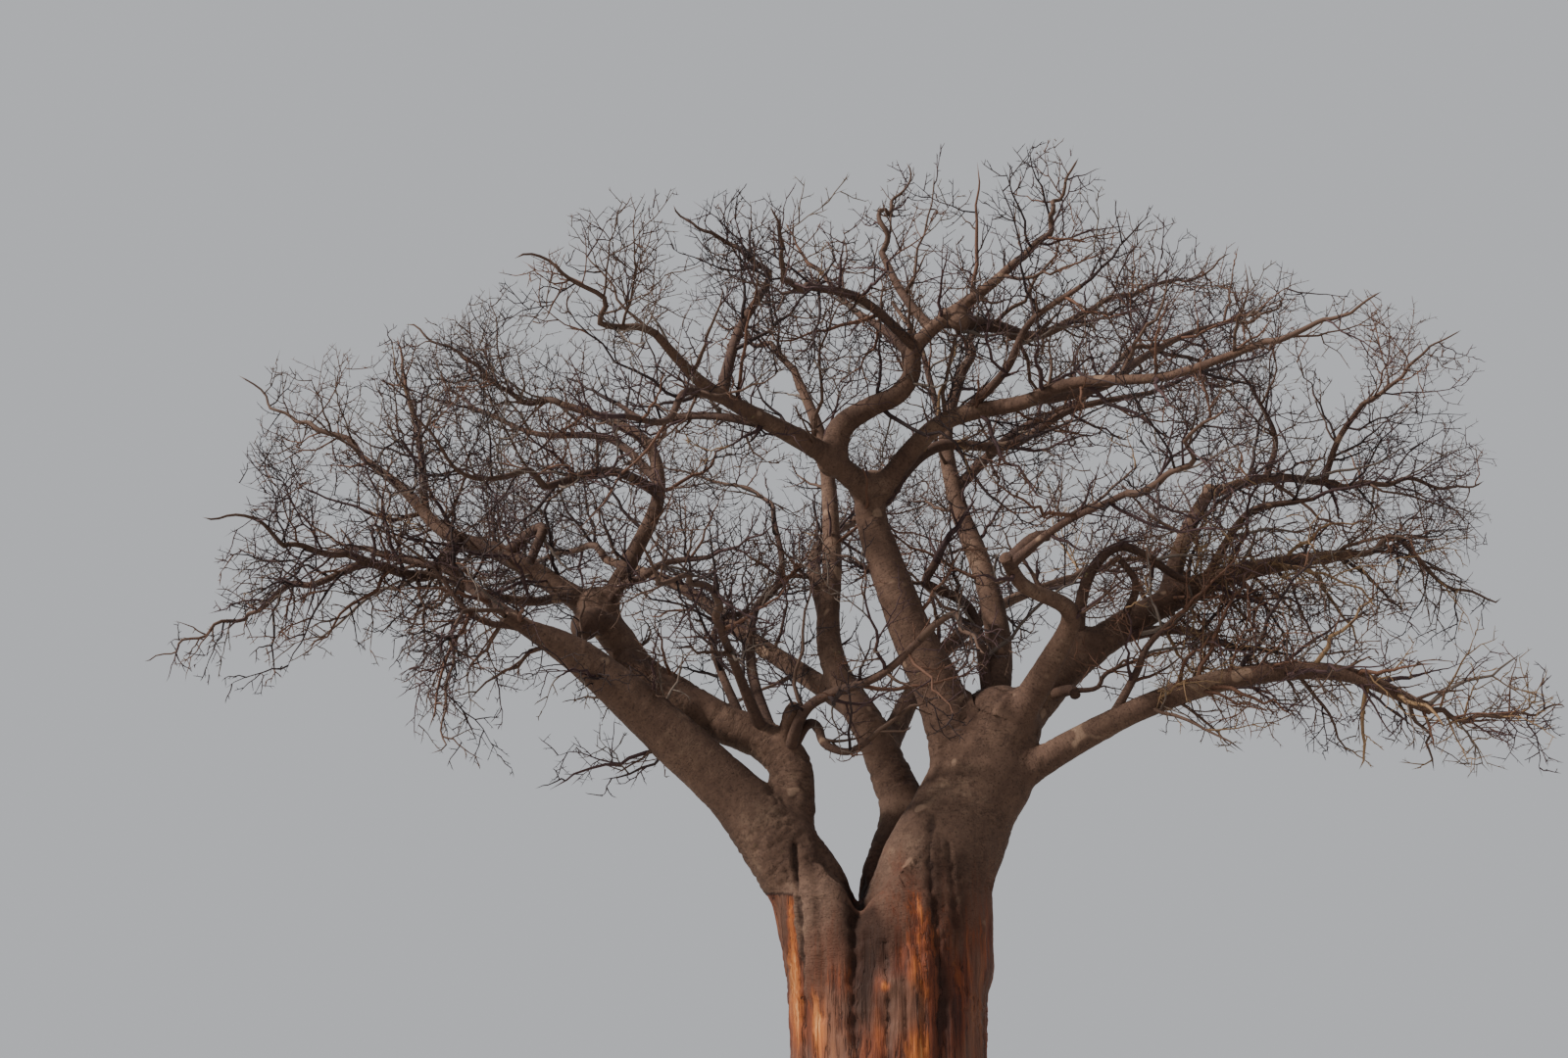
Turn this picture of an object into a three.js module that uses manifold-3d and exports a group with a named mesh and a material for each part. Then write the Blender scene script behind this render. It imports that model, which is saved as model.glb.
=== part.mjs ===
// A baobab in its leafless season: a barrel trunk with flared roots that forks low into great
// limbs, boughs that wander out from them, and a mass of bare twigs at the end of each bough.
//
// The model is in millimetres, +Z up, with its origin in the flat cut at ground level.
// The tables are in metres. A place in them is [x, z, y]: x and z are read on an upright metre
// grid that stands through the middle of the trunk, as an onlooker at VIEW sees the tree against
// it, and y is how far behind that grid the place lies. seenAt() carries it there along the line of sight.

import * as THREE from "three";
import { mergeVertices } from "three/addons/utils/BufferGeometryUtils.js";
import Module from "manifold-3d";

const wasm = await Module();
wasm.setup();

const METRE = 1000;
const VIEW = { x: -1.46, away: 23, eye: 1.7 };
const UP = new THREE.Vector3(0, 0, 1);
const GOLDEN_ANGLE = Math.PI * (3 - Math.sqrt(5));

// Between a bough's tip and its mass's stem, and between a limb and what it grows from.
const MEETING_GAP = 0.3;
const CUT_GAP = 0.5;

// Heights up the trunk, with the middle, the half width and the half depth there. Root lobes
// flare at its foot, a cleft runs up its front and back, and a saddle lies in its fork.
const TRUNK_SECTIONS = [
  { z: 0.0, x: 0.0, wide: 1.78, deep: 1.72 },
  { z: 0.35, x: 0.0, wide: 1.56, deep: 1.5 },
  { z: 0.9, x: 0.0, wide: 1.43, deep: 1.36 },
  { z: 1.7, x: 0.0, wide: 1.4, deep: 1.32 },
  { z: 2.6, x: 0.0, wide: 1.45, deep: 1.3 },
  { z: 3.3, x: -0.03, wide: 1.55, deep: 1.24 },
  { z: 3.8, x: -0.08, wide: 1.58, deep: 1.1 },
  { z: 4.25, x: -0.1, wide: 1.15, deep: 0.72 },
];
const TRUNK_TOP = TRUNK_SECTIONS.at(-1).z;
const TRUNK_SIDES = 28;
const TRUNK_RINGS = 11;
const ROOT_LOBES = 7;
const ROOT_LOBE_DEPTH = 0.07;
const ROOT_LOBE_HEIGHT = 0.7;
const CLEFT_WIDTH = 0.26;
const CLEFT_DEPTH = 0.2;
const CLEFT_FOOT = 1.2;
const CLEFT_X = -0.33;
const SADDLE_DEPTH = 0.5;
const SADDLE_WIDTH = 0.55;
const SADDLE_SHARPNESS = 6;

// A limb's rings lie this far apart, and its sides depend on its radius at the foot. A collar
// swells its foot and dies away over COLLAR_REACH foot radii. An end that closes is narrowed.
const LIMB_RING_STEP = 0.85;
const THICK_LIMB = { radius: 0.3, sides: 10 };
const MIDDLE_LIMB = { radius: 0.12, sides: 7 };
const SLIM_SIDES = 5;
const COLLAR_SWELL = 0.28;
const COLLAR_REACH = 1.6;
const CLOSED_END = 0.6;
const STRETCH_STEP = 0.3;

// Each limb leaves its parent's centre line at a share of its length and runs through the
// places of "via". thick holds its radius at its foot and at its tip.
const LIMBS = {
  left_great_limb: {
    from: "trunk", foot: [-0.72, 2.9, 0], thick: [0.67, 0.17],
    via: [[-1.15, 3.98, 0], [-1.9, 5.0, -0.1], [-3.13, 6.17, -0.3], [-4.6, 7.4, -0.8], [-5.7, 8.0, -1.3]],
  },
  right_stem: {
    from: "trunk", foot: [0.6, 2.9, 0], thick: [0.95, 0.62], closes: true,
    via: [[0.68, 4.0, 0], [1.13, 4.95, 0], [1.52, 5.75, 0], [1.74, 6.3, 0]],
  },
  back_stem: {
    from: "trunk", foot: [0.1, 3.2, 0.5], thick: [0.44, 0.07],
    via: [
      [0.34, 4.7, 0.95], [-0.05, 6.0, 1.3], [-0.75, 7.4, 1.9], [-0.72, 9.0, 2.4], [-0.85, 10.8, 2.8],
      [-1.3, 12.1, 3.1],
    ],
  },
  left_arm: {
    from: "left_great_limb", at: 0.25, thick: [0.35, 0.23],
    via: [[-1.36, 5.15, 0.15], [-1.4, 5.75, 0.25], [-1.75, 6.1, 0.3], [-2.35, 6.35, 0.3], [-3.0, 6.75, 0.35],
      [-3.6, 7.15, 0.4], [-4.05, 7.75, 0.5], [-4.4, 8.2, 0.5]],
  },
  left_far_bough: {
    from: "left_arm", at: 0.97, thick: [0.19, 0.055],
    via: [[-5.7, 8.95, 0.6], [-6.7, 9.35, 0.8], [-7.4, 10.05, 1.1], [-8.1, 10.6, 1.4]],
  },
  left_hook_bough: {
    from: "left_far_bough", at: 0.5, thick: [0.12, 0.055],
    via: [[-6.95, 8.65, 0.0], [-7.5, 8.75, -0.6], [-8.2, 9.0, -1.1]],
  },
  left_droop_bough: {
    from: "left_hook_bough", at: 0.88, thick: [0.055, 0.045],
    via: [[-8.7, 8.5, -0.9], [-9.0, 8.52, -0.8], [-9.4, 8.15, -0.7]],
  },
  left_upright_bough: {
    from: "left_arm", at: 0.96, thick: [0.155, 0.06],
    via: [[-3.8, 8.95, 0.6], [-3.42, 9.95, 0.8], [-3.6, 10.8, 1.0], [-4.3, 11.25, 1.2], [-5.0, 11.5, 1.3]],
  },
  left_inner_bough: {
    from: "left_upright_bough", at: 0.46, thick: [0.09, 0.055],
    via: [[-4.1, 10.35, 0.0], [-5.2, 10.1, -1.6]],
  },
  inner_bough: {
    from: "left_arm", at: 0.34, thick: [0.13, 0.065],
    via: [[-2.2, 7.25, -0.8], [-2.5, 8.0, -2.2]],
  },
  slender_bough: {
    from: "left_arm", at: 0.3, thick: [0.1, 0.045],
    via: [[-1.95, 7.2, 1.2], [-1.9, 8.1, 2.0], [-1.5, 8.65, 2.8], [-1.62, 9.6, 3.6]],
  },
  crossing_bough: {
    from: "left_arm", at: 0.26, thick: [0.11, 0.055],
    via: [[-1.1, 6.6, -0.6], [0.0, 7.1, -1.5], [0.62, 7.65, -2.2]],
  },
  centre_limb: {
    from: "right_stem", at: 0.68, thick: [0.42, 0.22],
    via: [[0.95, 6.6, -0.2], [0.5, 7.7, -0.3], [0.12, 8.8, -0.4], [-0.12, 9.7, -0.5], [-0.08, 10.15, -0.55]],
  },
  crest_left_bough: {
    from: "centre_limb", at: 0.97, thick: [0.19, 0.055],
    via: [[-0.9, 10.7, -1.3], [-1.9, 11.3, -2.3], [-2.8, 11.9, -3.3], [-3.55, 12.75, -4.2]],
  },
  crest_rise_bough: {
    from: "crest_left_bough", at: 0.68, thick: [0.09, 0.055],
    via: [[-2.2, 12.75, -2.6], [-1.75, 13.6, -2.2]],
  },
  elbow_bough: {
    from: "crest_left_bough", at: 0.18, thick: [0.19, 0.06],
    via: [
      [-0.55, 11.1, -1.2], [-0.1, 11.44, -1.35], [0.34, 11.66, -1.55], [0.58, 12.0, -1.7], [0.64, 12.45, -1.85],
      [1.05, 12.93, -2.05], [1.85, 13.56, -2.35], [2.4, 14.08, -2.6],
    ],
  },
  elbow_right_bough: {
    from: "elbow_bough", at: 0.68, thick: [0.125, 0.05],
    via: [[2.0, 12.85, -1.3], [2.6, 12.7, -0.7], [3.6, 13.2, 0.0]],
  },
  elbow_left_bough: {
    from: "elbow_bough", at: 0.54, thick: [0.08, 0.05],
    via: [[-0.2, 13.35, -3.0], [-1.1, 13.6, -4.2]],
  },
  elbow_crown_bough: {
    from: "elbow_bough", at: 0.62, thick: [0.08, 0.05],
    via: [[0.45, 13.5, -1.8], [0.15, 14.2, -1.6]],
  },
  crest_right_bough: {
    from: "centre_limb", at: 0.94, thick: [0.17, 0.05],
    via: [[1.0, 11.15, -1.2], [2.4, 11.55, -2.1], [3.1, 11.85, -2.6], [4.7, 12.0, -3.6], [6.2, 12.55, -4.5]],
  },
  back_upright_limb: {
    from: "right_stem", at: 0.84, thick: [0.26, 0.09],
    via: [[1.78, 7.6, 0.9], [1.6, 8.7, 1.3], [1.25, 9.8, 1.7], [1.1, 11.0, 2.0], [1.4, 12.1, 2.2]],
  },
  back_right_bough: {
    from: "back_upright_limb", at: 0.68, thick: [0.1, 0.055],
    via: [[2.2, 11.0, 2.4], [3.3, 11.6, 2.8], [3.9, 12.2, 3.0]],
  },
  right_fork_bough: {
    from: "right_stem", at: 0.8, thick: [0.27, 0.11],
    via: [[2.5, 7.2, -0.7], [2.9, 8.05, -1.2], [2.2, 8.5, -1.7], [1.95, 8.95, -2.2]],
  },
  right_inner_bough: {
    from: "right_fork_bough", at: 0.96, thick: [0.09, 0.055],
    via: [[2.8, 9.45, -3.0], [3.9, 10.0, -4.2]],
  },
  right_great_bough: {
    from: "right_stem", at: 0.88, thick: [0.36, 0.085],
    via: [[2.8, 7.2, 0.3], [4.05, 8.05, 0.5], [5.2, 8.6, 0.6], [6.4, 8.88, 0.5], [7.3, 9.0, 0.3]],
  },
  arch_riser: {
    from: "right_great_bough", at: 0.56, thick: [0.15, 0.105],
    via: [[4.75, 9.3, 1.2], [5.2, 10.05, 1.9]],
  },
  arch_run: {
    from: "arch_riser", at: 0.96, thick: [0.1, 0.065],
    via: [[6.2, 10.25, 2.5], [7.15, 10.15, 2.9]],
  },
  arch_rise: {
    from: "arch_run", at: 0.92, thick: [0.06, 0.045],
    via: [[7.3, 10.9, 2.4], [7.75, 11.5, 1.8]],
  },
  low_right_limb: {
    from: "right_stem", at: 0.64, thick: [0.3, 0.075],
    via: [[2.75, 6.02, -0.5], [4.1, 6.68, -0.9], [5.6, 7.1, -1.2], [7.0, 7.1, -1.4], [8.2, 6.55, -1.5]],
  },
  back_left_bough: {
    from: "back_stem", at: 0.36, thick: [0.19, 0.075],
    via: [[-1.9, 7.6, 3.2], [-3.1, 8.5, 4.5], [-4.2, 8.9, 5.3]],
  },
  back_far_bough: {
    from: "back_stem", at: 0.28, thick: [0.19, 0.075],
    via: [[0.8, 7.3, 3.2], [1.9, 8.2, 4.7], [2.9, 8.6, 5.6]],
  },
  back_middle_bough: {
    from: "back_stem", at: 0.52, thick: [0.15, 0.07],
    via: [[-1.0, 8.9, 3.6], [-0.75, 9.3, 4.8], [-0.4, 9.5, 5.8]],
  },
};

// Each mass of twigs: the bough it ends, the place of its furthest tip, how far its twigs
// stand out from its stem, and how they bend, up where lift is above 0 and down below it.
const MASSES = {
  far_left_twigs: { bough: "left_far_bough", far: [-10.2, 12.0, 2.0], girth: 1.6, lift: 0.35 },
  left_hook_twigs: { bough: "left_hook_bough", far: [-10.5, 9.6, -2.6], girth: 1.5, lift: 0.1 },
  left_droop_twigs: { bough: "left_droop_bough", far: [-11.1, 7.3, -0.4], girth: 0.8, lift: -0.35 },
  left_low_twigs: { bough: "left_great_limb", far: [-6.7, 5.9, -2.8], girth: 1.4, lift: -0.5 },
  left_crest_twigs: { bough: "left_upright_bough", far: [-7.6, 12.9, 1.0], girth: 1.7, lift: 0.3 },
  left_inner_twigs: { bough: "left_inner_bough", far: [-7.4, 11.4, -4.6], girth: 1.6, lift: 0.3 },
  inner_twigs: { bough: "inner_bough", far: [-3.7, 9.2, -5.2], girth: 1.3, lift: 0.2 },
  slender_twigs: { bough: "slender_bough", far: [-3.6, 10.6, 5.4], girth: 1.6, lift: 0.2 },
  crossing_twigs: { bough: "crossing_bough", far: [1.6, 7.4, -5.0], girth: 0.9, lift: -0.3 },
  crest_left_twigs: { bough: "crest_left_bough", far: [-5.9, 14.1, -5.6], girth: 1.6, lift: 0.3 },
  crest_rise_twigs: { bough: "crest_rise_bough", far: [-3.3, 15.1, -2.8], girth: 1.4, lift: 0.35 },
  elbow_twigs: { bough: "elbow_bough", far: [3.5, 16.0, -3.2], girth: 1.3, lift: 0.35 },
  elbow_right_twigs: { bough: "elbow_right_bough", far: [5.9, 14.2, 0.6], girth: 1.4, lift: 0.3 },
  elbow_left_twigs: { bough: "elbow_left_bough", far: [-1.7, 15.1, -6.2], girth: 1.3, lift: 0.35 },
  elbow_crown_twigs: { bough: "elbow_crown_bough", far: [0.6, 15.9, -1.8], girth: 1.2, lift: 0.35 },
  crest_right_twigs: { bough: "crest_right_bough", far: [8.3, 13.5, -5.8], girth: 1.5, lift: 0.3 },
  back_upright_twigs: { bough: "back_upright_limb", far: [1.7, 13.6, 2.6], girth: 1.4, lift: 0.3 },
  back_right_twigs: { bough: "back_right_bough", far: [6.2, 11.8, 5.0], girth: 1.8, lift: 0.25 },
  right_inner_twigs: { bough: "right_inner_bough", far: [5.6, 11.5, -6.8], girth: 1.4, lift: 0.3 },
  right_great_twigs: { bough: "right_great_bough", far: [9.5, 8.3, 0.2], girth: 1.3, lift: -0.2 },
  arch_run_twigs: { bough: "arch_run", far: [9.5, 10.2, 4.0], girth: 1.5, lift: 0.0 },
  arch_rise_twigs: { bough: "arch_rise", far: [9.5, 12.8, 1.0], girth: 1.5, lift: 0.25 },
  low_right_twigs: { bough: "low_right_limb", far: [10.2, 6.6, -1.8], girth: 1.3, lift: 0.0 },
  back_stem_twigs: { bough: "back_stem", far: [-2.6, 13.0, 3.9], girth: 1.6, lift: 0.3 },
  back_left_twigs: { bough: "back_left_bough", far: [-6.2, 9.2, 7.2], girth: 2.1, lift: 0.25 },
  back_far_twigs: { bough: "back_far_bough", far: [4.6, 9.2, 7.8], girth: 2.1, lift: 0.25 },
  back_middle_twigs: { bough: "back_middle_bough", far: [0.3, 9.9, 8.1], girth: 2.0, lift: 0.3 },
};

// How a mass branches: shoots leave its stem and side twigs leave the shoots, spread round by
// the golden angle, each at LEAN_OUT from the way ahead. Lengths are shares of what carries them.
const SHOOTS_FOR_GIRTH = 2.8;
const TWIGS_ON_SHOOT = 3;
const FIRST_SHARE = 0.75;
const LAST_SHARE = 0.35;
const SHOOT_REACH = 1.25;
const SHOOT_SHORTENS = 0.4;
const TWIG_REACH = 0.62;
const TWIG_SHORTENS = 0.35;
const LENGTH_SPREAD = 0.15;
const TURN_SPREAD = 0.3;
const LEAN_OUT = 0.95;
const STEM_TAPER = 0.78;
const TWIG_TAPER = 0.75;
const SIDE_THICKNESS = 0.46;

// A twig that leaves its mass's space or comes near other wood is turned and shortened, a few
// times over, and is left out where that doesn't help.
const TRIES = 4;
const TURN_ASIDE = 0.9;
const SHORTEN_BY = 0.12;
const TWIG_CLEARANCE = 12;
const SPACE_LENGTH = 0.66;
const SPACE_GIRTH = 1.2;

// Sides and rings of the faceted stems, shoots and twigs, and the edges that are welded.
const STEM_SIDES = 4;
const STEM_RINGS = 4;
const TWIG_SIDES = 3;
const SHOOT_RINGS = 2;
const TWIG_RINGS = 1;
const WELD = 1.5;
const MERGE = 1e-4;

const FIRST_SEED = 101;
const SEED_STEP = 37;

// Colours of the bark, low on the trunk to out among the twigs.
const TRUNK_BARK = { color: 0x7a5442, roughness: 0.85, metalness: 0 };
const LIMB_BARK = { color: 0x6b5347, roughness: 0.85, metalness: 0 };
const TWIG_BARK = { color: 0x4f3d38, roughness: 0.8, metalness: 0 };

// Gives the same run of numbers for the same seed.
class Dice {
  constructor(seed) {
    this.state = seed;
  }
  between(low, high) {
    this.state = (this.state * 1664525 + 1013904223) % 2 ** 32;
    return low + ((high - low) * this.state) / 2 ** 32;
  }
}

// The true place of what shows at x and z on the grid and lies y behind it.
function seenAt([x, z, y]) {
  const spread = 1 + y / VIEW.away;
  const across = VIEW.x + (x - VIEW.x) * spread;
  const height = VIEW.eye + (z - VIEW.eye) * spread;
  return new THREE.Vector3(across, y, height).multiplyScalar(METRE);
}

// A closed three.js geometry as a manifold-3d solid.
function solidOf(geometry) {
  geometry.deleteAttribute("normal");
  geometry.deleteAttribute("uv");
  const merged = mergeVertices(geometry, MERGE);
  return new wasm.Manifold(new wasm.Mesh({
    numProp: 3,
    vertProperties: merged.attributes.position.array,
    triVerts: new Uint32Array(merged.index.array),
  }));
}

function geometryOf(solid) {
  const { vertProperties, triVerts } = solid.getMesh();
  return new THREE.BufferGeometry()
    .setAttribute("position", new THREE.BufferAttribute(vertProperties, 3))
    .setIndex(new THREE.BufferAttribute(triVerts, 1));
}

// A curve drawn as even straight stretches, which a solid of as many rings follows exactly.
class Stretches extends THREE.Curve {
  constructor(curve, count) {
    super();
    this.places = curve.getSpacedPoints(count);
  }
  getPoint(share) {
    const count = this.places.length - 1;
    const i = Math.min(count - 1, Math.floor(share * count));
    return this.places[i].clone().lerp(this.places[i + 1], share * count - i);
  }
}

// Bends a unit cylinder or cone round a curve: radiusAt(share) is its radius, and grow swells
// it and lengthens both its ends.
function bendAlong(curve, unit, rings, radiusAt, grow = 0) {
  const frames = curve.computeFrenetFrames(rings, false);
  const spots = curve.getSpacedPoints(rings);
  const place = unit.attributes.position;
  for (let i = 0; i < place.count; i++) {
    const share = place.getY(i) + 0.5;
    const ring = Math.round(share * rings);
    const size = radiusAt(share) + grow;
    const end = ring === 0 ? -grow : ring === rings ? grow : 0;
    const spot = spots[ring].clone()
      .addScaledVector(frames.tangents[ring], end)
      .addScaledVector(frames.binormals[ring], place.getX(i) * size)
      .addScaledVector(frames.normals[ring], place.getZ(i) * size);
    place.setXYZ(i, spot.x, spot.y, spot.z);
  }
  return solidOf(unit);
}

// The trunk's middle, half width and half depth at any height.
function trunkSectionAt(z) {
  const above = Math.max(1, TRUNK_SECTIONS.findIndex((section) => section.z >= z));
  const low = TRUNK_SECTIONS[above - 1];
  const high = TRUNK_SECTIONS[above];
  const between = (key) => THREE.MathUtils.mapLinear(z, low.z, high.z, low[key], high[key]);
  return { x: between("x"), wide: between("wide"), deep: between("deep") };
}

// A hollow's depth at a place across the trunk: a smooth dip round CLEFT_X.
function dipAt(x, width) {
  return Math.exp(-(((x - CLEFT_X) / width) ** 2));
}

// How much the root lobes and the cleft change the trunk's radius at a height and angle.
function trunkSwell(z, angle, x, wide) {
  const lobes = ROOT_LOBE_DEPTH * Math.exp(-z / ROOT_LOBE_HEIGHT) * Math.cos(ROOT_LOBES * angle);
  const cleftShare = Math.max(0, (z - CLEFT_FOOT) / (TRUNK_TOP - CLEFT_FOOT));
  return 1 + lobes - CLEFT_DEPTH * cleftShare * dipAt(x, CLEFT_WIDTH * wide);
}

// The trunk, or a copy of it that stands out by grow all round.
function trunkSolid(grow = 0) {
  const unit = new THREE.CylinderGeometry(1, 1, 1, TRUNK_SIDES, TRUNK_RINGS);
  const place = unit.attributes.position;
  for (let i = 0; i < place.count; i++) {
    const share = place.getY(i) + 0.5;
    const z = share * TRUNK_TOP;
    const [across, back] = [place.getX(i), -place.getZ(i)];
    const section = trunkSectionAt(z);
    const swell = trunkSwell(z, Math.atan2(back, across), across * section.wide, section.wide);
    const x = section.x + across * section.wide * swell;
    const saddle = SADDLE_DEPTH * share ** SADDLE_SHARPNESS * dipAt(x, SADDLE_WIDTH);
    const rise = share === 1 ? grow : share === 0 ? -grow : 0;
    place.setXYZ(
      i,
      x * METRE + across * grow,
      back * section.deep * swell * METRE + back * grow,
      (z - saddle) * METRE + rise,
    );
  }
  return solidOf(unit);
}

// A limb's centre line, from inside its parent to its tip.
function limbCurve(limb, curves) {
  const foot = limb.foot ? seenAt(limb.foot) : curves[limb.from].getPointAt(limb.at);
  return new THREE.CatmullRomCurve3([foot, ...limb.via.map(seenAt)], false, "centripetal");
}

// A limb's radius along it: an even taper, with the collar at its foot.
function limbRadius(limb, length) {
  const [foot, tip] = limb.thick;
  return (share) => {
    const along = (share * length) / METRE;
    const collar = limb.foot ? 0 : COLLAR_SWELL * foot * Math.exp(-along / (COLLAR_REACH * foot));
    const close = limb.closes && share === 1 ? CLOSED_END : 1;
    return (foot + (tip - foot) * share + collar) * close * METRE;
  };
}

function sidesOf(limb) {
  const size = [THICK_LIMB, MIDDLE_LIMB].find(({ radius }) => limb.thick[0] > radius);
  return size ? size.sides : SLIM_SIDES;
}

// A limb, or a copy of it that stands out by grow all round.
function limbSolid(curve, limb, grow = 0) {
  const length = curve.getLength();
  const rings = Math.max(3, Math.round(length / METRE / LIMB_RING_STEP));
  const sides = sidesOf(limb);
  const unit = new THREE.CylinderGeometry(1, 1, 1, sides, rings);
  return bendAlong(curve, unit, rings, limbRadius(limb, length), grow);
}

function boxesMeet(a, b) {
  const [p, q] = [a.boundingBox(), b.boundingBox()];
  return [0, 1, 2].every((i) => p.min[i] <= q.max[i] && q.min[i] <= p.max[i]);
}

// The largest single body of a solid.
function oneBody(solid) {
  return solid.decompose().sort((a, b) => b.volume() - a.volume())[0];
}

// What is left of a solid outside the others.
function cutClear(solid, others) {
  const near = others.filter((other) => boxesMeet(solid, other));
  return oneBody(near.reduce((left, other) => left.subtract(other), solid));
}

// Straight stretches of a curve with their radii, for the test of what touches what.
function stretchesOf(curve, radiusAt, steps) {
  return Array.from({ length: steps }, (_, i) => ({
    line: new THREE.Line3(curve.getPoint(i / steps), curve.getPoint((i + 1) / steps)),
    radius: Math.max(radiusAt(i / steps), radiusAt((i + 1) / steps)),
  }));
}

function touchesAny(stretches, others) {
  return stretches.some((one) => others.some((other) => {
    const apart = Math.sqrt(one.line.distanceSqToLine3(other.line));
    return apart < one.radius + other.radius + TWIG_CLEARANCE;
  }));
}

// A mass of twigs: its stem goes on from its bough's tip and ends at its furthest tip.
class Mass {
  constructor(spec, boughCurve, boughRadius, seed) {
    Object.assign(this, spec);
    this.dice = new Dice(seed);
    this.tip = seenAt(spec.far);
    const heading = boughCurve.getTangentAt(1);
    this.foot = boughCurve.getPointAt(1).addScaledVector(heading, MEETING_GAP);
    const third = this.foot.distanceTo(this.tip) / 3;
    const arrive = this.tip.clone().sub(this.foot).normalize().addScaledVector(UP, this.lift).normalize();
    this.bend = new THREE.CubicBezierCurve3(this.foot,
      this.foot.clone().addScaledVector(heading, third),
      this.tip.clone().addScaledVector(arrive, -third), this.tip);
    this.stem = new Stretches(this.bend, STEM_RINGS);
    this.stemRadius = (share) => boughRadius * (1 - STEM_TAPER * share);
    this.twigs = [];
  }

  // Whether a place lies in the egg-shaped space round the stem.
  holds(place) {
    const axis = this.tip.clone().sub(this.foot);
    const offset = place.clone().sub(this.foot);
    const along = offset.dot(axis) / axis.lengthSq();
    const out = offset.addScaledVector(axis, -along).length() / METRE;
    return ((along - 0.5) / SPACE_LENGTH) ** 2 + (out / this.girth / SPACE_GIRTH) ** 2 < 1;
  }

  // A twig that leaves a curve at a share of its length, turned round it by an angle.
  twigFrom(curve, share, turn, length, radius, rings) {
    const foot = curve.getPoint(share);
    const ahead = curve.getTangent(share);
    const side = new THREE.Vector3().crossVectors(ahead, UP).normalize();
    const out = side.applyAxisAngle(ahead, turn);
    const heading = ahead.clone().multiplyScalar(Math.cos(LEAN_OUT));
    heading.addScaledVector(out, Math.sin(LEAN_OUT));
    const knee = foot.clone().addScaledVector(heading, length / 2);
    const bent = heading.clone().addScaledVector(UP, this.lift).normalize();
    const tip = knee.clone().addScaledVector(bent, length / 2);
    const bend = new THREE.QuadraticBezierCurve3(foot, knee, tip);
    const radiusAt = (s) => radius * (1 - TWIG_TAPER * s);
    return { bend, path: new Stretches(bend, rings), length, rings, radiusAt };
  }

  // Side shoots along a curve, each kept only where it stays in the space and touches nothing.
  branch(curve, radiusAt, count, lengthAt, rings, taken) {
    const kept = [];
    const turn = this.dice.between(0, 2 * Math.PI);
    for (let k = 0; k < count; k++) {
      const share = (k + FIRST_SHARE) / (count + LAST_SHARE);
      for (let attempt = 0; attempt < TRIES; attempt++) {
        const sway = this.dice.between(-TURN_SPREAD, TURN_SPREAD);
        const angle = turn + k * GOLDEN_ANGLE + attempt * TURN_ASIDE + sway;
        const vary = this.dice.between(1 - LENGTH_SPREAD, 1 + LENGTH_SPREAD);
        const length = lengthAt(share) * vary * (1 - SHORTEN_BY * attempt);
        const radius = radiusAt(share) * SIDE_THICKNESS;
        const twig = this.twigFrom(curve, share, angle, length, radius, rings);
        if (!this.holds(twig.path.getPoint(0.6)) || !this.holds(twig.path.getPoint(1))) continue;
        if (touchesAny(stretchesOf(twig.path, twig.radiusAt, SHOOT_RINGS), taken)) continue;
        kept.push(twig);
        break;
      }
    }
    return kept;
  }

  grow(taken) {
    const count = Math.round(this.girth * SHOOTS_FOR_GIRTH);
    const shootLength = (s) => this.girth * METRE * SHOOT_REACH * (1 - SHOOT_SHORTENS * s);
    const shoots = this.branch(this.stem, this.stemRadius, count, shootLength, SHOOT_RINGS, taken);
    const sideTwigs = shoots.flatMap((shoot) => {
      const twigLength = (s) => shoot.length * TWIG_REACH * (1 - TWIG_SHORTENS * s);
      return this.branch(shoot.path, shoot.radiusAt, TWIGS_ON_SHOOT, twigLength, TWIG_RINGS, taken);
    });
    this.twigs = [...shoots, ...sideTwigs];
  }

  stretches() {
    return [
      ...stretchesOf(this.stem, this.stemRadius, STEM_RINGS),
      ...this.twigs.flatMap((twig) => stretchesOf(twig.path, twig.radiusAt, SHOOT_RINGS)),
    ];
  }

  solid() {
    const stemUnit = new THREE.CylinderGeometry(1, 1, 1, STEM_SIDES, STEM_RINGS);
    const stem = bendAlong(this.bend, stemUnit, STEM_RINGS, this.stemRadius);
    const twigs = this.twigs.map(({ bend, rings, radiusAt }) =>
      bendAlong(bend, new THREE.ConeGeometry(1, 1, TWIG_SIDES, rings), rings, radiusAt));
    return oneBody(wasm.Manifold.union([stem, ...twigs]).simplify(WELD));
  }
}

function addPiece(tree, name, solid, bark) {
  const mesh = new THREE.Mesh(geometryOf(solid), new THREE.MeshStandardMaterial(bark));
  mesh.name = name;
  tree.add(mesh);
}

function addLimbs(tree, curves) {
  const taken = [trunkSolid(CUT_GAP)];
  for (const [name, limb] of Object.entries(LIMBS)) {
    curves[name] = limbCurve(limb, curves);
    addPiece(tree, name, cutClear(limbSolid(curves[name], limb), taken), LIMB_BARK);
    taken.push(limbSolid(curves[name], limb, CUT_GAP));
  }
}

function limbStretches(curves) {
  return Object.entries(LIMBS).flatMap(([name, limb]) => {
    const length = curves[name].getLength();
    const steps = Math.ceil(length / METRE / STRETCH_STEP);
    return stretchesOf(curves[name], limbRadius(limb, length), steps);
  });
}

function addMasses(tree, curves) {
  const limbs = limbStretches(curves);
  const masses = Object.entries(MASSES).map(([name, spec], i) => {
    const tipRadius = LIMBS[spec.bough].thick[1] * METRE;
    return [name, new Mass(spec, curves[spec.bough], tipRadius, FIRST_SEED + SEED_STEP * i)];
  });
  for (const [name, mass] of masses) {
    const others = masses.filter(([other]) => other !== name).flatMap(([, other]) => other.stretches());
    mass.grow([...others, ...limbs]);
    addPiece(tree, name, mass.solid(), TWIG_BARK);
  }
}

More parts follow.
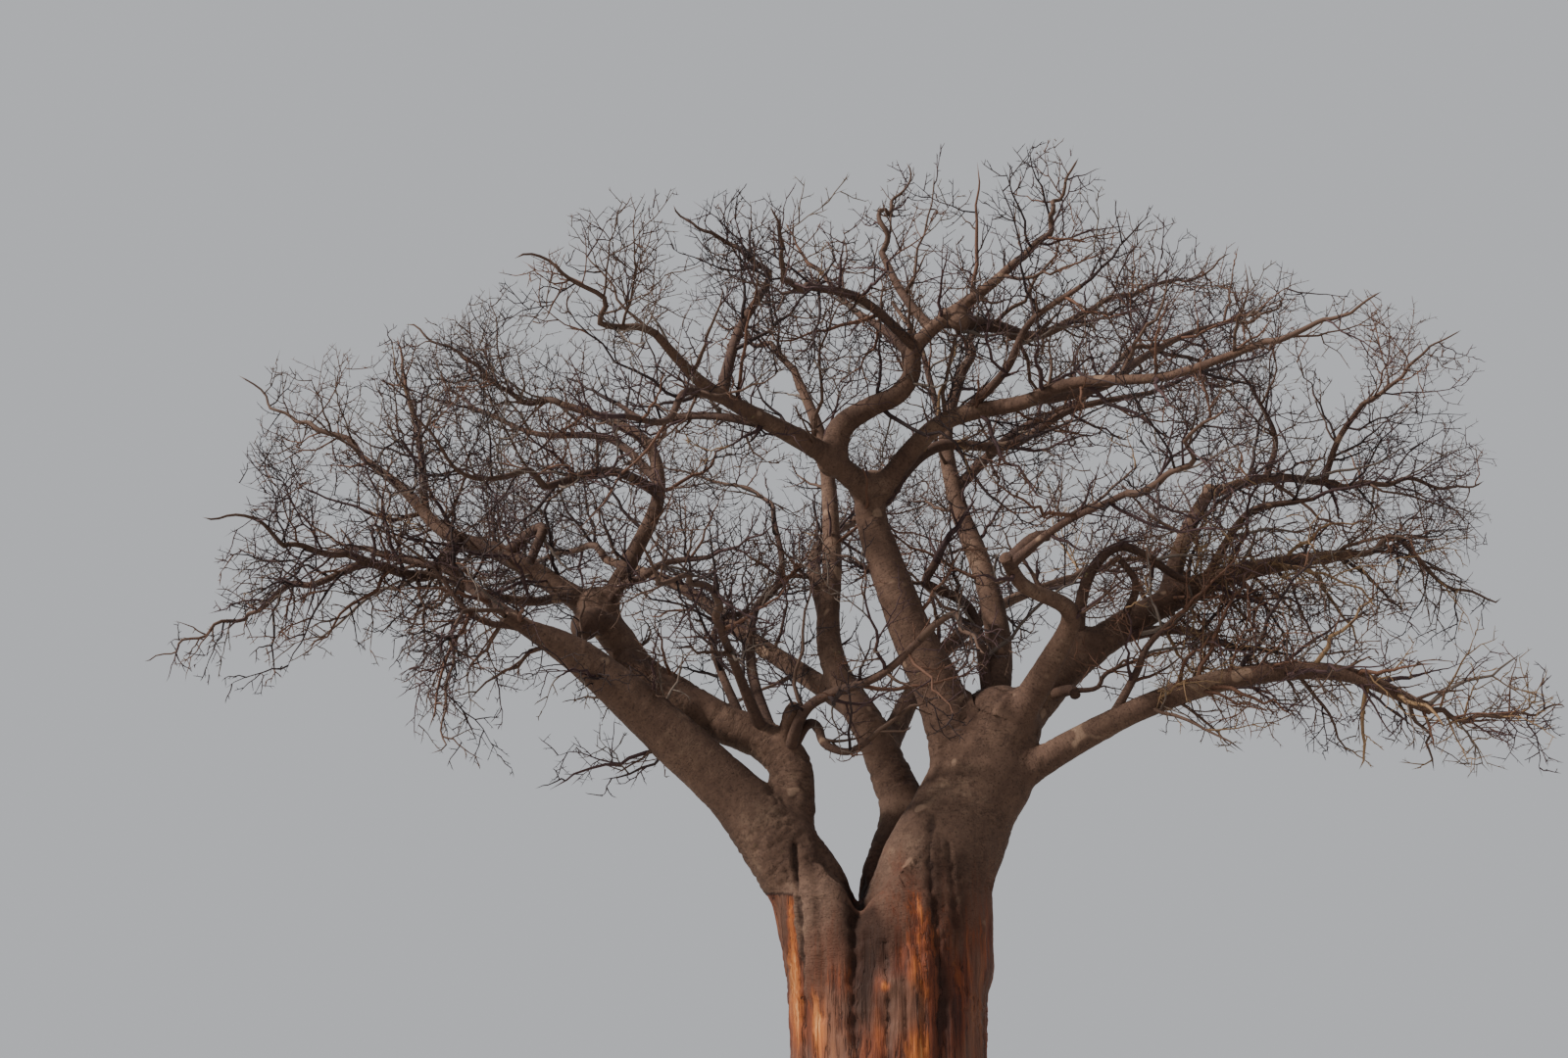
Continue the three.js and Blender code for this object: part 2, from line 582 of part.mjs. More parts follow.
const tree = new THREE.Group();
const curves = {};
addPiece(tree, "trunk", trunkSolid(), TRUNK_BARK);
addLimbs(tree, curves);
addMasses(tree, curves);

export default tree;
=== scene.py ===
"""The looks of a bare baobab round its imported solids, in metres, +Z up.

Its trunk and thick limbs are one skin with soft forks and bark relief. Slim boughs are tubes with
the same bark. The crown's twigs grow by the solids' own rule, carried on to sprigs and spurs.
"""

import math
from collections import namedtuple

import bmesh
import bpy
import numpy as np
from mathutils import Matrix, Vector, kdtree


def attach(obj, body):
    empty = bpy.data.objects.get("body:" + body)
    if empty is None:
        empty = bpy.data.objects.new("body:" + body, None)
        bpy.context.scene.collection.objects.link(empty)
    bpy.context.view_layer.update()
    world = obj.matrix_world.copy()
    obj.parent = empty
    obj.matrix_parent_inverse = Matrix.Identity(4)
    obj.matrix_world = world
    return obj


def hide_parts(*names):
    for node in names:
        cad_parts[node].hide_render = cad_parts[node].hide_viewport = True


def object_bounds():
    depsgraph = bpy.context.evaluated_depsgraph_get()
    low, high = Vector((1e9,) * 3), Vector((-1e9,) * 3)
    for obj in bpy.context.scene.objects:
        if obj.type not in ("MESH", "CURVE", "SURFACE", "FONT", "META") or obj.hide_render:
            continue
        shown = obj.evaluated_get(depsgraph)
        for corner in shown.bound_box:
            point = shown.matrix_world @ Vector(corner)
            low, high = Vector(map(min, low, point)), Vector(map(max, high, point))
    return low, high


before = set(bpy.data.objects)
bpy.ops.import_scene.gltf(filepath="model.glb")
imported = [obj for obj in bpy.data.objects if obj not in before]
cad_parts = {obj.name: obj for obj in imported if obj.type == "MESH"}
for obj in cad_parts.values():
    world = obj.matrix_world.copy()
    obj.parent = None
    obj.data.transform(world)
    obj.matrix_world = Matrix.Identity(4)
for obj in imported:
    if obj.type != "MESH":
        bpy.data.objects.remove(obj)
solid_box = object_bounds()
BODY = "root"

# The onlooker stands at EYE: a place [x, z, y] is read on an upright grid through the trunk,
# and y is how far behind that grid it lies, along the line of sight.
EYE = Vector((-1.46, -23.04, 1.7))
GRID_AWAY = 23.0
PITCH = math.radians(18.49)
LENS = 36.0
SENSOR = 36.0
UP = np.array([0.0, 0.0, 1.0])
GOLDEN_ANGLE = math.pi * (3 - math.sqrt(5))

# Heights up the trunk, with the middle, the half width and the half depth there.
TRUNK_Z = [0.0, 0.35, 0.9, 1.7, 2.6, 3.3, 3.8, 4.25]
TRUNK_X = [0.0, 0.0, 0.0, 0.0, 0.0, -0.03, -0.08, -0.1]
TRUNK_WIDE = [1.78, 1.56, 1.43, 1.4, 1.45, 1.55, 1.58, 1.15]
TRUNK_DEEP = [1.72, 1.5, 1.36, 1.32, 1.3, 1.24, 1.1, 0.72]
TRUNK_TOP = TRUNK_Z[-1]
ROOT_LOBES = 7
ROOT_LOBE_DEPTH = 0.07
ROOT_LOBE_HEIGHT = 0.7
CLEFT_WIDTH = 0.26
CLEFT_DEPTH = 0.2
CLEFT_FOOT = 1.2
CLEFT_X = -0.33
SADDLE_DEPTH = 0.5
SADDLE_WIDTH = 0.55
SADDLE_SHARPNESS = 6

COLLAR_SWELL = 0.28
COLLAR_REACH = 1.6

# Each limb of the solids: what it grows from, where it leaves that (a place, or a share of its
# parent's length), its radius at foot and tip, and the places that it runs through.
LIMBS = {
    "left_great_limb": ("trunk", [-0.72, 2.9, 0], (0.67, 0.17), [
        [-1.15, 3.98, 0], [-1.9, 5.0, -0.1], [-3.13, 6.17, -0.3], [-4.6, 7.4, -0.8], [-5.7, 8.0, -1.3]]),
    "right_stem": ("trunk", [0.6, 2.9, 0], (0.95, 0.62), [
        [0.68, 4.0, 0], [1.13, 4.95, 0], [1.52, 5.75, 0], [1.74, 6.3, 0]]),
    "back_stem": ("trunk", [0.1, 3.2, 0.5], (0.44, 0.07), [
        [0.34, 4.7, 0.95], [-0.05, 6.0, 1.3], [-0.75, 7.4, 1.9], [-0.72, 9.0, 2.4],
        [-0.85, 10.8, 2.8], [-1.3, 12.1, 3.1]]),
    "left_arm": ("left_great_limb", 0.25, (0.35, 0.23), [
        [-1.36, 5.15, 0.15], [-1.4, 5.75, 0.25], [-1.75, 6.1, 0.3], [-2.35, 6.35, 0.3],
        [-3.0, 6.75, 0.35], [-3.6, 7.15, 0.4], [-4.05, 7.75, 0.5], [-4.4, 8.2, 0.5]]),
    "left_far_bough": ("left_arm", 0.97, (0.19, 0.055), [
        [-5.7, 8.95, 0.6], [-6.7, 9.35, 0.8], [-7.4, 10.05, 1.1], [-8.1, 10.6, 1.4]]),
    "left_hook_bough": ("left_far_bough", 0.5, (0.12, 0.055), [
        [-6.95, 8.65, 0.0], [-7.5, 8.75, -0.6], [-8.2, 9.0, -1.1]]),
    "left_droop_bough": ("left_hook_bough", 0.88, (0.055, 0.045), [
        [-8.7, 8.5, -0.9], [-9.0, 8.52, -0.8], [-9.4, 8.15, -0.7]]),
    "left_upright_bough": ("left_arm", 0.96, (0.155, 0.06), [
        [-3.8, 8.95, 0.6], [-3.42, 9.95, 0.8], [-3.6, 10.8, 1.0], [-4.3, 11.25, 1.2], [-5.0, 11.5, 1.3]]),
    "left_inner_bough": ("left_upright_bough", 0.46, (0.09, 0.055), [
        [-4.1, 10.35, 0.0], [-5.2, 10.1, -1.6]]),
    "inner_bough": ("left_arm", 0.34, (0.13, 0.065), [
        [-2.2, 7.25, -0.8], [-2.5, 8.0, -2.2]]),
    "slender_bough": ("left_arm", 0.3, (0.1, 0.045), [
        [-1.95, 7.2, 1.2], [-1.9, 8.1, 2.0], [-1.5, 8.65, 2.8], [-1.62, 9.6, 3.6]]),
    "crossing_bough": ("left_arm", 0.26, (0.11, 0.055), [
        [-1.1, 6.6, -0.6], [0.0, 7.1, -1.5], [0.62, 7.65, -2.2]]),
    "centre_limb": ("right_stem", 0.68, (0.42, 0.22), [
        [0.95, 6.6, -0.2], [0.5, 7.7, -0.3], [0.12, 8.8, -0.4], [-0.12, 9.7, -0.5],
        [-0.08, 10.15, -0.55]]),
    "crest_left_bough": ("centre_limb", 0.97, (0.19, 0.055), [
        [-0.9, 10.7, -1.3], [-1.9, 11.3, -2.3], [-2.8, 11.9, -3.3], [-3.55, 12.75, -4.2]]),
    "crest_rise_bough": ("crest_left_bough", 0.68, (0.09, 0.055), [
        [-2.2, 12.75, -2.6], [-1.75, 13.6, -2.2]]),
    "elbow_bough": ("crest_left_bough", 0.18, (0.19, 0.06), [
        [-0.55, 11.1, -1.2], [-0.1, 11.44, -1.35], [0.34, 11.66, -1.55], [0.58, 12.0, -1.7],
        [0.64, 12.45, -1.85], [1.05, 12.93, -2.05], [1.85, 13.56, -2.35], [2.4, 14.08, -2.6]]),
    "elbow_right_bough": ("elbow_bough", 0.68, (0.125, 0.05), [
        [2.0, 12.85, -1.3], [2.6, 12.7, -0.7], [3.6, 13.2, 0.0]]),
    "elbow_left_bough": ("elbow_bough", 0.54, (0.08, 0.05), [
        [-0.2, 13.35, -3.0], [-1.1, 13.6, -4.2]]),
    "elbow_crown_bough": ("elbow_bough", 0.62, (0.08, 0.05), [
        [0.45, 13.5, -1.8], [0.15, 14.2, -1.6]]),
    "crest_right_bough": ("centre_limb", 0.94, (0.17, 0.05), [
        [1.0, 11.15, -1.2], [2.4, 11.55, -2.1], [3.1, 11.85, -2.6], [4.7, 12.0, -3.6],
        [6.2, 12.55, -4.5]]),
    "back_upright_limb": ("right_stem", 0.84, (0.26, 0.09), [
        [1.78, 7.6, 0.9], [1.6, 8.7, 1.3], [1.25, 9.8, 1.7], [1.1, 11.0, 2.0], [1.4, 12.1, 2.2]]),
    "back_right_bough": ("back_upright_limb", 0.68, (0.1, 0.055), [
        [2.2, 11.0, 2.4], [3.3, 11.6, 2.8], [3.9, 12.2, 3.0]]),
    "right_fork_bough": ("right_stem", 0.8, (0.27, 0.11), [
        [2.5, 7.2, -0.7], [2.9, 8.05, -1.2], [2.2, 8.5, -1.7], [1.95, 8.95, -2.2]]),
    "right_inner_bough": ("right_fork_bough", 0.96, (0.09, 0.055), [
        [2.8, 9.45, -3.0], [3.9, 10.0, -4.2]]),
    "right_great_bough": ("right_stem", 0.88, (0.36, 0.085), [
        [2.8, 7.2, 0.3], [4.05, 8.05, 0.5], [5.2, 8.6, 0.6], [6.4, 8.88, 0.5], [7.3, 9.0, 0.3]]),
    "arch_riser": ("right_great_bough", 0.56, (0.15, 0.105), [
        [4.75, 9.3, 1.2], [5.2, 10.05, 1.9]]),
    "arch_run": ("arch_riser", 0.96, (0.1, 0.065), [
        [6.2, 10.25, 2.5], [7.15, 10.15, 2.9]]),
    "arch_rise": ("arch_run", 0.92, (0.06, 0.045), [
        [7.3, 10.9, 2.4], [7.75, 11.5, 1.8]]),
    "low_right_limb": ("right_stem", 0.64, (0.3, 0.075), [
        [2.75, 6.02, -0.5], [4.1, 6.68, -0.9], [5.6, 7.1, -1.2], [7.0, 7.1, -1.4], [8.2, 6.55, -1.5]]),
    "back_left_bough": ("back_stem", 0.36, (0.19, 0.075), [
        [-1.9, 7.6, 3.2], [-3.1, 8.5, 4.5], [-4.2, 8.9, 5.3]]),
    "back_far_bough": ("back_stem", 0.28, (0.19, 0.075), [
        [0.8, 7.3, 3.2], [1.9, 8.2, 4.7], [2.9, 8.6, 5.6]]),
    "back_middle_bough": ("back_stem", 0.52, (0.15, 0.07), [
        [-1.0, 8.9, 3.6], [-0.75, 9.3, 4.8], [-0.4, 9.5, 5.8]]),
}

# Short crooked boughs and stubs that the solids leave out, in the same form.
SIDE_BOUGHS = {
    "left_web": ("left_arm", 0.53, (0.2, 0.18), [
        [-3.0, 6.6, 0.1], [-3.4, 6.9, 0.1], [-3.95, 7.35, 0.1]]),
    "left_link": ("left_great_limb", 0.92, (0.1, 0.06), [
        [-5.55, 7.98, -1.0], [-5.84, 8.17, -0.8], [-6.2, 8.42, -0.5], [-6.62, 8.74, -0.2],
        [-7.1, 8.86, 0.0], [-7.5, 8.95, 0.1]]),
    "left_second": ("left_arm", 0.96, (0.1, 0.055), [
        [-4.8, 8.3, 0.3], [-5.2, 8.24, 0.1], [-5.7, 8.28, -0.1], [-6.1, 8.4, -0.3]]),
    "left_low_branch": ("left_great_limb", 0.93, (0.06, 0.03), [
        [-5.6, 7.85, -1.2], [-5.95, 7.9, -1.3], [-6.3, 8.1, -1.4], [-6.7, 8.6, -1.5]]),
    "left_crook": ("left_far_bough", 0.34, (0.1, 0.07), [
        [-5.33, 9.38, 0.3], [-5.2, 9.42, 0.15], [-5.37, 8.86, 0.0]]),
    "left_spire": ("left_far_bough", 0.66, (0.075, 0.04), [
        [-7.08, 9.97, 1.2], [-7.17, 10.64, 1.5], [-7.35, 11.33, 1.9], [-7.48, 11.71, 2.1]]),
    "left_head_branch": ("left_arm", 0.95, (0.08, 0.035), [
        [-3.95, 8.47, 0.1], [-3.61, 8.63, -0.2], [-3.35, 8.83, -0.4], [-2.6, 8.95, -0.8]]),
    "left_stub": ("left_arm", 0.86, (0.2, 0.19), [
        [-4.38, 7.95, -0.05], [-4.5, 7.82, -0.2]]),
    "left_upper_branch": ("left_upright_bough", 0.5, (0.08, 0.035), [
        [-4.2, 10.9, 1.6], [-5.4, 11.0, 2.6], [-6.3, 11.4, 3.3]]),
    "fork_neck": ("left_arm", 0.28, (0.17, 0.1), [
        [-1.4, 6.2, 0.05], [-1.36, 6.5, -0.3], [-1.3, 6.6, -0.45]]),
    "fork_hook": ("left_arm", 0.26, (0.09, 0.045), [
        [-1.12, 6.33, -0.1], [-0.96, 6.3, -0.4], [-0.86, 6.05, -0.6], [-0.5, 5.93, -0.8],
        [-0.2, 6.1, -0.9]]),
    "inner_crook": ("left_arm", 0.4, (0.08, 0.035), [
        [-2.53, 7.61, 0.9], [-2.36, 7.99, 1.2], [-1.98, 8.07, 1.5], [-1.5, 8.5, 1.9]]),
    "back_foot": ("back_stem", 0.18, (0.3, 0.2), [
        [0.04, 4.42, 0.85], [-0.13, 4.05, 0.7], [-0.22, 3.65, 0.5]]),
    "crest_side_branch": ("crest_left_bough", 0.42, (0.075, 0.035), [
        [-2.47, 11.29, -1.6], [-3.02, 11.29, -1.3], [-3.6, 11.2, -1.0], [-4.1, 11.5, -0.8]]),
    "crest_drop_branch": ("crest_left_bough", 0.62, (0.07, 0.035), [
        [-3.03, 11.71, -3.8], [-3.33, 11.21, -4.3], [-4.0, 11.3, -5.0]]),
    "elbow_back_branch": ("elbow_bough", 0.5, (0.07, 0.035), [
        [0.13, 12.83, -1.5], [-0.35, 13.19, -0.9], [-0.9, 13.9, -0.4]]),
    "upright_left_prong": ("back_upright_limb", 0.8, (0.07, 0.035), [
        [0.86, 11.97, 2.3], [0.72, 12.57, 2.5], [0.3, 13.3, 2.9]]),
    "upright_hook": ("back_upright_limb", 0.1, (0.1, 0.07), [
        [1.35, 8.15, 0.6], [0.85, 8.45, 0.35], [0.71, 8.55, 0.25], [0.87, 8.85, 0.2]]),
    "knob_stub": ("right_fork_bough", 0.97, (0.1, 0.08), [
        [2.4, 9.25, -2.3], [2.62, 9.3, -2.25]]),
    "bridge": ("right_great_bough", 0.3, (0.11, 0.045), [
        [3.12, 8.4, -0.1], [3.39, 8.9, -0.3], [3.73, 9.12, -0.35], [4.1, 8.98, -0.3], [4.6, 8.62, -0.1],
        [5.1, 8.5, -0.3]]),
    "bridge_leg": ("right_great_bough", 0.42, (0.075, 0.05), [
        [3.93, 8.5, -0.15], [3.73, 8.9, -0.3]]),
    "low_prong": ("low_right_limb", 0.34, (0.075, 0.035), [
        [3.86, 7.17, -0.9], [4.01, 7.5, -0.9], [4.5, 8.0, -1.1]]),
    "pale_stub": ("right_great_bough", 0.16, (0.1, 0.08), [
        [2.86, 6.86, -0.25], [2.9, 6.78, -0.35]]),
    "under_twist": ("right_great_bough", 0.2, (0.05, 0.025), [
        [3.24, 6.9, -0.15], [3.35, 7.09, -0.2], [3.8, 7.3, -0.3]]),
    "under_stub": ("right_great_bough", 0.36, (0.1, 0.06), [
        [4.28, 7.79, 0.15], [4.78, 7.74, 0.0], [5.05, 7.62, -0.1]]),
    "right_prong": ("right_great_bough", 0.66, (0.08, 0.035), [
        [5.61, 9.52, 0.4], [5.87, 9.73, 0.3], [6.8, 9.9, -0.3]]),
    "arch_prong": ("arch_run", 0.5, (0.06, 0.03), [
        [6.3, 10.9, 2.3], [6.0, 11.8, 2.0]]),
    "crest_right_branch": ("crest_right_bough", 0.46, (0.085, 0.035), [
        [3.6, 11.8, -1.8], [4.3, 12.3, -1.2], [5.0, 12.7, -0.8], [5.9, 13.0, -0.3]]),
    "crest_right_riser": ("crest_right_bough", 0.3, (0.08, 0.035), [
        [2.1, 12.1, -2.2], [2.5, 12.9, -2.6], [3.4, 13.6, -3.4]]),
    "crest_under_branch": ("centre_limb", 0.9, (0.11, 0.045), [
        [0.9, 10.75, 0.0], [2.1, 10.8, 0.4], [3.1, 11.4, 0.7], [4.4, 11.7, 1.0]]),
}

# Swellings in the thick wood: burls, healed stubs and heads where boughs divide. Each has its
# limb, the share of its length, how far it sits from the centre line, and its radius.
SWELLINGS = [
    ("left_arm", 0.97, [0, 0, 0.02], 0.36),
    ("left_stub", 0.95, [0, 0, 0], 0.22),
    ("elbow_bough", 0.72, [0.08, 0, -0.16], 0.16),
    ("right_great_bough", 0.33, [-0.1, -0.05, 0.14], 0.27),
    ("centre_limb", 0.97, [0, 0, 0], 0.28),
    ("right_stem", 0.75, [0.18, -0.1, 0], 0.6),
    ("right_stem", 0.98, [0, 0, -0.1], 0.5),
    ("arch_riser", 0.98, [0, 0, 0], 0.12),
]

# Where limbs are slimmer over a stretch: the share of the length, its spread, and how much slimmer.
WAISTS = {
    "back_stem": [(0.55, 0.3, 0.22)],
    "low_right_limb": [(0.32, 0.25, 0.2)],
    "crest_right_bough": [(0.7, 0.25, 0.15)],
    "left_great_limb": [(0.42, 0.1, 0.13), (1.0, 0.09, 0.5)],
    "right_fork_bough": [(0.75, 0.3, 0.25)],
    "right_inner_bough": [(0.6, 0.6, 0.35)],
    "crossing_bough": [(0.5, 0.6, 0.15)],
    "inner_bough": [(0.5, 0.6, 0.3)],
}

# Each mass of twigs: the bough that it ends, its furthest tip, how far its twigs stand out
# from its stem, and how they bend, up where lift is above 0 and down below it.
MASSES = {
    "far_left_twigs": ("left_far_bough", [-10.2, 12.0, 2.0], 1.6, 0.35),
    "left_hook_twigs": ("left_hook_bough", [-10.5, 9.6, -2.6], 1.5, 0.1),
    "left_droop_twigs": ("left_droop_bough", [-11.1, 7.3, -0.4], 0.8, -0.35),
    "left_low_twigs": ("left_great_limb", [-6.7, 5.9, -2.8], 1.4, -0.5),
    "left_crest_twigs": ("left_upright_bough", [-7.6, 12.9, 1.0], 1.7, 0.3),
    "left_inner_twigs": ("left_inner_bough", [-7.4, 11.4, -4.6], 1.6, 0.3),
    "inner_twigs": ("inner_bough", [-3.7, 9.2, -5.2], 1.3, 0.2),
    "slender_twigs": ("slender_bough", [-3.6, 10.6, 5.4], 1.6, 0.2),
    "crossing_twigs": ("crossing_bough", [1.6, 7.4, -5.0], 0.9, -0.3),
    "crest_left_twigs": ("crest_left_bough", [-5.9, 14.1, -5.6], 1.6, 0.3),
    "crest_rise_twigs": ("crest_rise_bough", [-3.3, 15.1, -2.8], 1.4, 0.35),
    "elbow_twigs": ("elbow_bough", [3.5, 16.0, -3.2], 1.3, 0.35),
    "elbow_right_twigs": ("elbow_right_bough", [5.9, 14.2, 0.6], 1.4, 0.3),
    "elbow_left_twigs": ("elbow_left_bough", [-1.7, 15.1, -6.2], 1.3, 0.35),
    "elbow_crown_twigs": ("elbow_crown_bough", [0.6, 15.9, -1.8], 1.2, 0.35),
    "crest_right_twigs": ("crest_right_bough", [8.3, 13.5, -5.8], 1.5, 0.3),
    "back_upright_twigs": ("back_upright_limb", [1.7, 13.6, 2.6], 1.4, 0.3),
    "back_right_twigs": ("back_right_bough", [6.2, 11.8, 5.0], 1.8, 0.25),
    "right_inner_twigs": ("right_inner_bough", [5.6, 11.5, -6.8], 1.4, 0.3),
    "right_great_twigs": ("right_great_bough", [9.5, 8.3, 0.2], 1.3, -0.2),
    "arch_run_twigs": ("arch_run", [9.5, 10.2, 4.0], 1.5, 0.0),
    "arch_rise_twigs": ("arch_rise", [9.5, 12.8, 1.0], 1.5, 0.25),
    "low_right_twigs": ("low_right_limb", [10.2, 6.6, -1.8], 1.3, 0.0),
    "back_stem_twigs": ("back_stem", [-2.6, 13.0, 3.9], 1.6, 0.3),
    "back_left_twigs": ("back_left_bough", [-6.2, 9.2, 7.2], 2.1, 0.25),
    "back_far_twigs": ("back_far_bough", [4.6, 9.2, 7.8], 2.1, 0.25),
    "back_middle_twigs": ("back_middle_bough", [0.3, 9.9, 8.1], 2.0, 0.3),
}

# The crown is joined in these parts, each with the twigs on and beyond its boughs.
CROWN_PARTS = {
    "left_outer_twigs": [
        "left_far_bough", "left_hook_bough", "left_droop_bough", "left_spire", "left_crook"],
    "left_lower_twigs": [
        "left_great_limb", "left_arm", "inner_bough", "crossing_bough", "left_link", "left_web",
        "left_stub", "fork_neck", "fork_hook", "inner_crook", "left_head_branch", "left_second",
        "left_low_branch", "back_foot"],
    "left_upper_twigs": [
        "left_upright_bough", "left_inner_bough", "slender_bough", "left_upper_branch"],
    "crest_left_side_twigs": [
        "crest_left_bough", "crest_rise_bough", "elbow_left_bough", "crest_side_branch",
        "crest_drop_branch"],
    "crest_top_twigs": [
        "elbow_bough", "elbow_right_bough", "elbow_crown_bough", "centre_limb", "elbow_back_branch"],
    "crest_right_side_twigs": [
        "crest_right_bough", "right_inner_bough", "right_fork_bough", "crest_right_branch",
        "crest_right_riser", "crest_under_branch", "knob_stub"],
    "right_upper_twigs": [
        "arch_riser", "arch_run", "arch_rise", "arch_prong", "bridge", "bridge_leg", "right_prong"],
    "right_lower_twigs": [
        "right_great_bough", "low_right_limb", "right_stem", "low_prong", "pale_stub", "under_twist",
        "under_stub"],
    "back_upper_twigs": [
        "back_upright_limb", "back_right_bough", "upright_left_prong", "upright_hook", "back_stem"],
    "back_lower_twigs": ["back_left_bough", "back_far_bough", "back_middle_bough"],
}


# Shader and geometry maths

class Socket:
    """A node's output, on which Python's operators add Math nodes."""

    def __init__(self, graph, link):
        self.graph = graph
        self.link = link

    def math(self, operation, *others):
        values = dict(enumerate((self, *others)))
        return self.graph.add("ShaderNodeMath", {"operation": operation}, values)

    def __add__(self, other):
        return self.math("ADD", other)

    __radd__ = __add__

    def __sub__(self, other):
        return self.math("SUBTRACT", other)

    def __rsub__(self, other):
        return self.graph.add("ShaderNodeMath", {"operation": "SUBTRACT"}, {0: other, 1: self})

    def __mul__(self, other):
        return self.math("MULTIPLY", other)

    __rmul__ = __mul__

    def __truediv__(self, other):
        return self.math("DIVIDE", other)

    def __abs__(self):
        return self.math("ABSOLUTE")

    def step(self, low, high, start=0.0, end=1.0):
        """Eases from start to end as the value goes from low to high."""
        values = dict(enumerate((self, low, high, start, end)))
        return self.graph.add("ShaderNodeMapRange", {"interpolation_type": "SMOOTHSTEP"}, values)


class Graph:
    """A node tree, with one method that adds any node."""

    def __init__(self, tree):
        self.tree = tree

    def add(self, kind, settings=None, inputs=None, output=0):
        node = self.tree.nodes.new(kind)
        for name, value in (settings or {}).items():
            if name == "stops":
                self.set_stops(node.color_ramp, value)
            else:
                setattr(node, name, value)
        for key, value in (inputs or {}).items():
            self.feed(node.inputs[key], value)
        return Socket(self, node.outputs[output])

    def feed(self, socket, value):
        if isinstance(value, Socket):
            self.tree.links.new(value.link, socket)
        else:
            socket.default_value = value

    def set_stops(self, ramp, stops):
        while len(ramp.elements) < len(stops):
            ramp.elements.new(0.5)
        for element, (place, colour) in zip(ramp.elements, stops):
            element.position = place
            element.color = (*colour, 1.0)

    def scaled(self, vector, by):
        by = (by, by, by) if isinstance(by, (int, float)) else by
        return self.add("ShaderNodeVectorMath", {"operation": "MULTIPLY"}, {0: vector, 1: by})

    def noise(self, vector, scale, detail=2.0, w=None, roughness=0.5):
        settings = {"noise_dimensions": "3D" if w is None else "4D"}
        inputs = {"Scale": 1.0, "Detail": detail, "Roughness": roughness}
        inputs["Vector"] = self.scaled(vector, scale)
        if w is not None:
            inputs["W"] = w
        return self.add("ShaderNodeTexNoise", settings, inputs)

    def strips(self, place, ragged):
        """How far the torn edge of the bark wavers in long strips, where it is ragged."""
        return (self.noise(place, (4.5, 4.5, 0.6), 4.0, roughness=0.6) - 0.5) * 1.2 * ragged

    def ramp(self, value, stops):
        return self.add("ShaderNodeValToRGB", {"stops": stops}, {0: value})

    def mix(self, share, first, second):
        inputs = {0: share, 6: first, 7: second}
        return self.add("ShaderNodeMix", {"data_type": "RGBA"}, inputs, output=2)


# Centre lines

def seen_at(place):
    """The true place of what shows at x and z on the grid and lies y behind it."""
    x, z, y = place
    spread = 1 + y / GRID_AWAY
    return np.array([EYE.x + (x - EYE.x) * spread, y, EYE.z + (z - EYE.z) * spread])


def unit(vectors):
    return vectors / np.linalg.norm(vectors, axis=-1, keepdims=True)


def smooth_line(places, count=240):
    """Places along the centripetal Catmull-Rom curve through some places."""
    places = np.asarray(places)
    ends = np.vstack([2 * places[0] - places[1], places, 2 * places[-1] - places[-2]])
    spot = np.linspace(0, len(places) - 1, count)
    i = np.minimum(spot.astype(int), len(places) - 2)
    w = (spot - i)[:, None]
    x0, x1, x2, x3 = (ends[i + k] for k in range(4))
    d0, d1, d2 = (np.sqrt(np.linalg.norm(b - a, axis=1, keepdims=True))
                  for a, b in ((x0, x1), (x1, x2), (x2, x3)))
    t1 = ((x1 - x0) / d0 - (x2 - x0) / (d0 + d1) + (x2 - x1) / d1) * d1
    t2 = ((x2 - x1) / d1 - (x3 - x1) / (d1 + d2) + (x3 - x2) / d2) * d1
    return x1 + t1 * w + (3 * (x2 - x1) - 2 * t1 - t2) * w**2 + (2 * (x1 - x2) + t1 + t2) * w**3


def cubic_line(a, b, c, d, count=120):
    """Places along a cubic Bezier curve."""
    u = np.linspace(0, 1, count)[:, None]
    return a * (1 - u)**3 + b * 3 * u * (1 - u)**2 + c * 3 * u**2 * (1 - u) + d * u**3


class Line:
    """A centre line: its places and directions at shares of its length."""

    def __init__(self, places):
        self.places = np.asarray(places, float)
        steps = np.linalg.norm(np.diff(self.places, axis=0), axis=1)
        self.along = np.concatenate([[0.0], np.cumsum(steps)])
        self.length = self.along[-1]

    def at(self, share):
        reach = np.asarray(share) * self.length
        return np.stack([np.interp(reach, self.along, self.places[:, k]) for k in range(3)], -1)

    def ahead(self, share, span=0.004):
        share = np.asarray(share)
        return unit(self.at(np.minimum(share + span, 1)) - self.at(np.maximum(share - span, 0)))


class Limb:
    """One tapering limb or bough."""

    def __init__(self, name, spec, limbs):
        self.waists = WAISTS.get(name, [])
        parent, leaves, (self.foot, self.tip), via = spec
        from_trunk = parent == "trunk"
        start = seen_at(leaves) if from_trunk else limbs[parent].line.at(leaves)
        self.line = Line(smooth_line([start, *map(seen_at, via)]))
        self.collar = 0.0 if from_trunk else COLLAR_SWELL * self.foot

    def radius(self, share):
        """An even taper, with the collar at its foot."""
        along = share * self.line.length
        collar = self.collar * np.exp(-along / (COLLAR_REACH * self.foot))
        return self.foot + (self.tip - self.foot) * share + collar

    def looks_radius(self, share):
        radius = self.radius(share)
        for middle, spread, slimmer in self.waists:
            radius = radius * (1 - slimmer * np.exp(-((share - middle) / spread)**2))
        return radius


def grow_limbs():
    limbs = {}
    for name, spec in {**LIMBS, **SIDE_BOUGHS}.items():
        limbs[name] = Limb(name, spec, limbs)
    return limbs


# Meshes from arrays

def ring_walls(rings, sides):
    """The quads of a tube whose rings follow one another, (rings - 1) * sides of them."""
    k = np.arange(sides)
    after = (k + 1) % sides
    ring = np.stack([k, after, after + sides, k + sides], 1)
    return (ring + np.arange(rings - 1)[:, None, None] * sides).reshape(-1, 4)


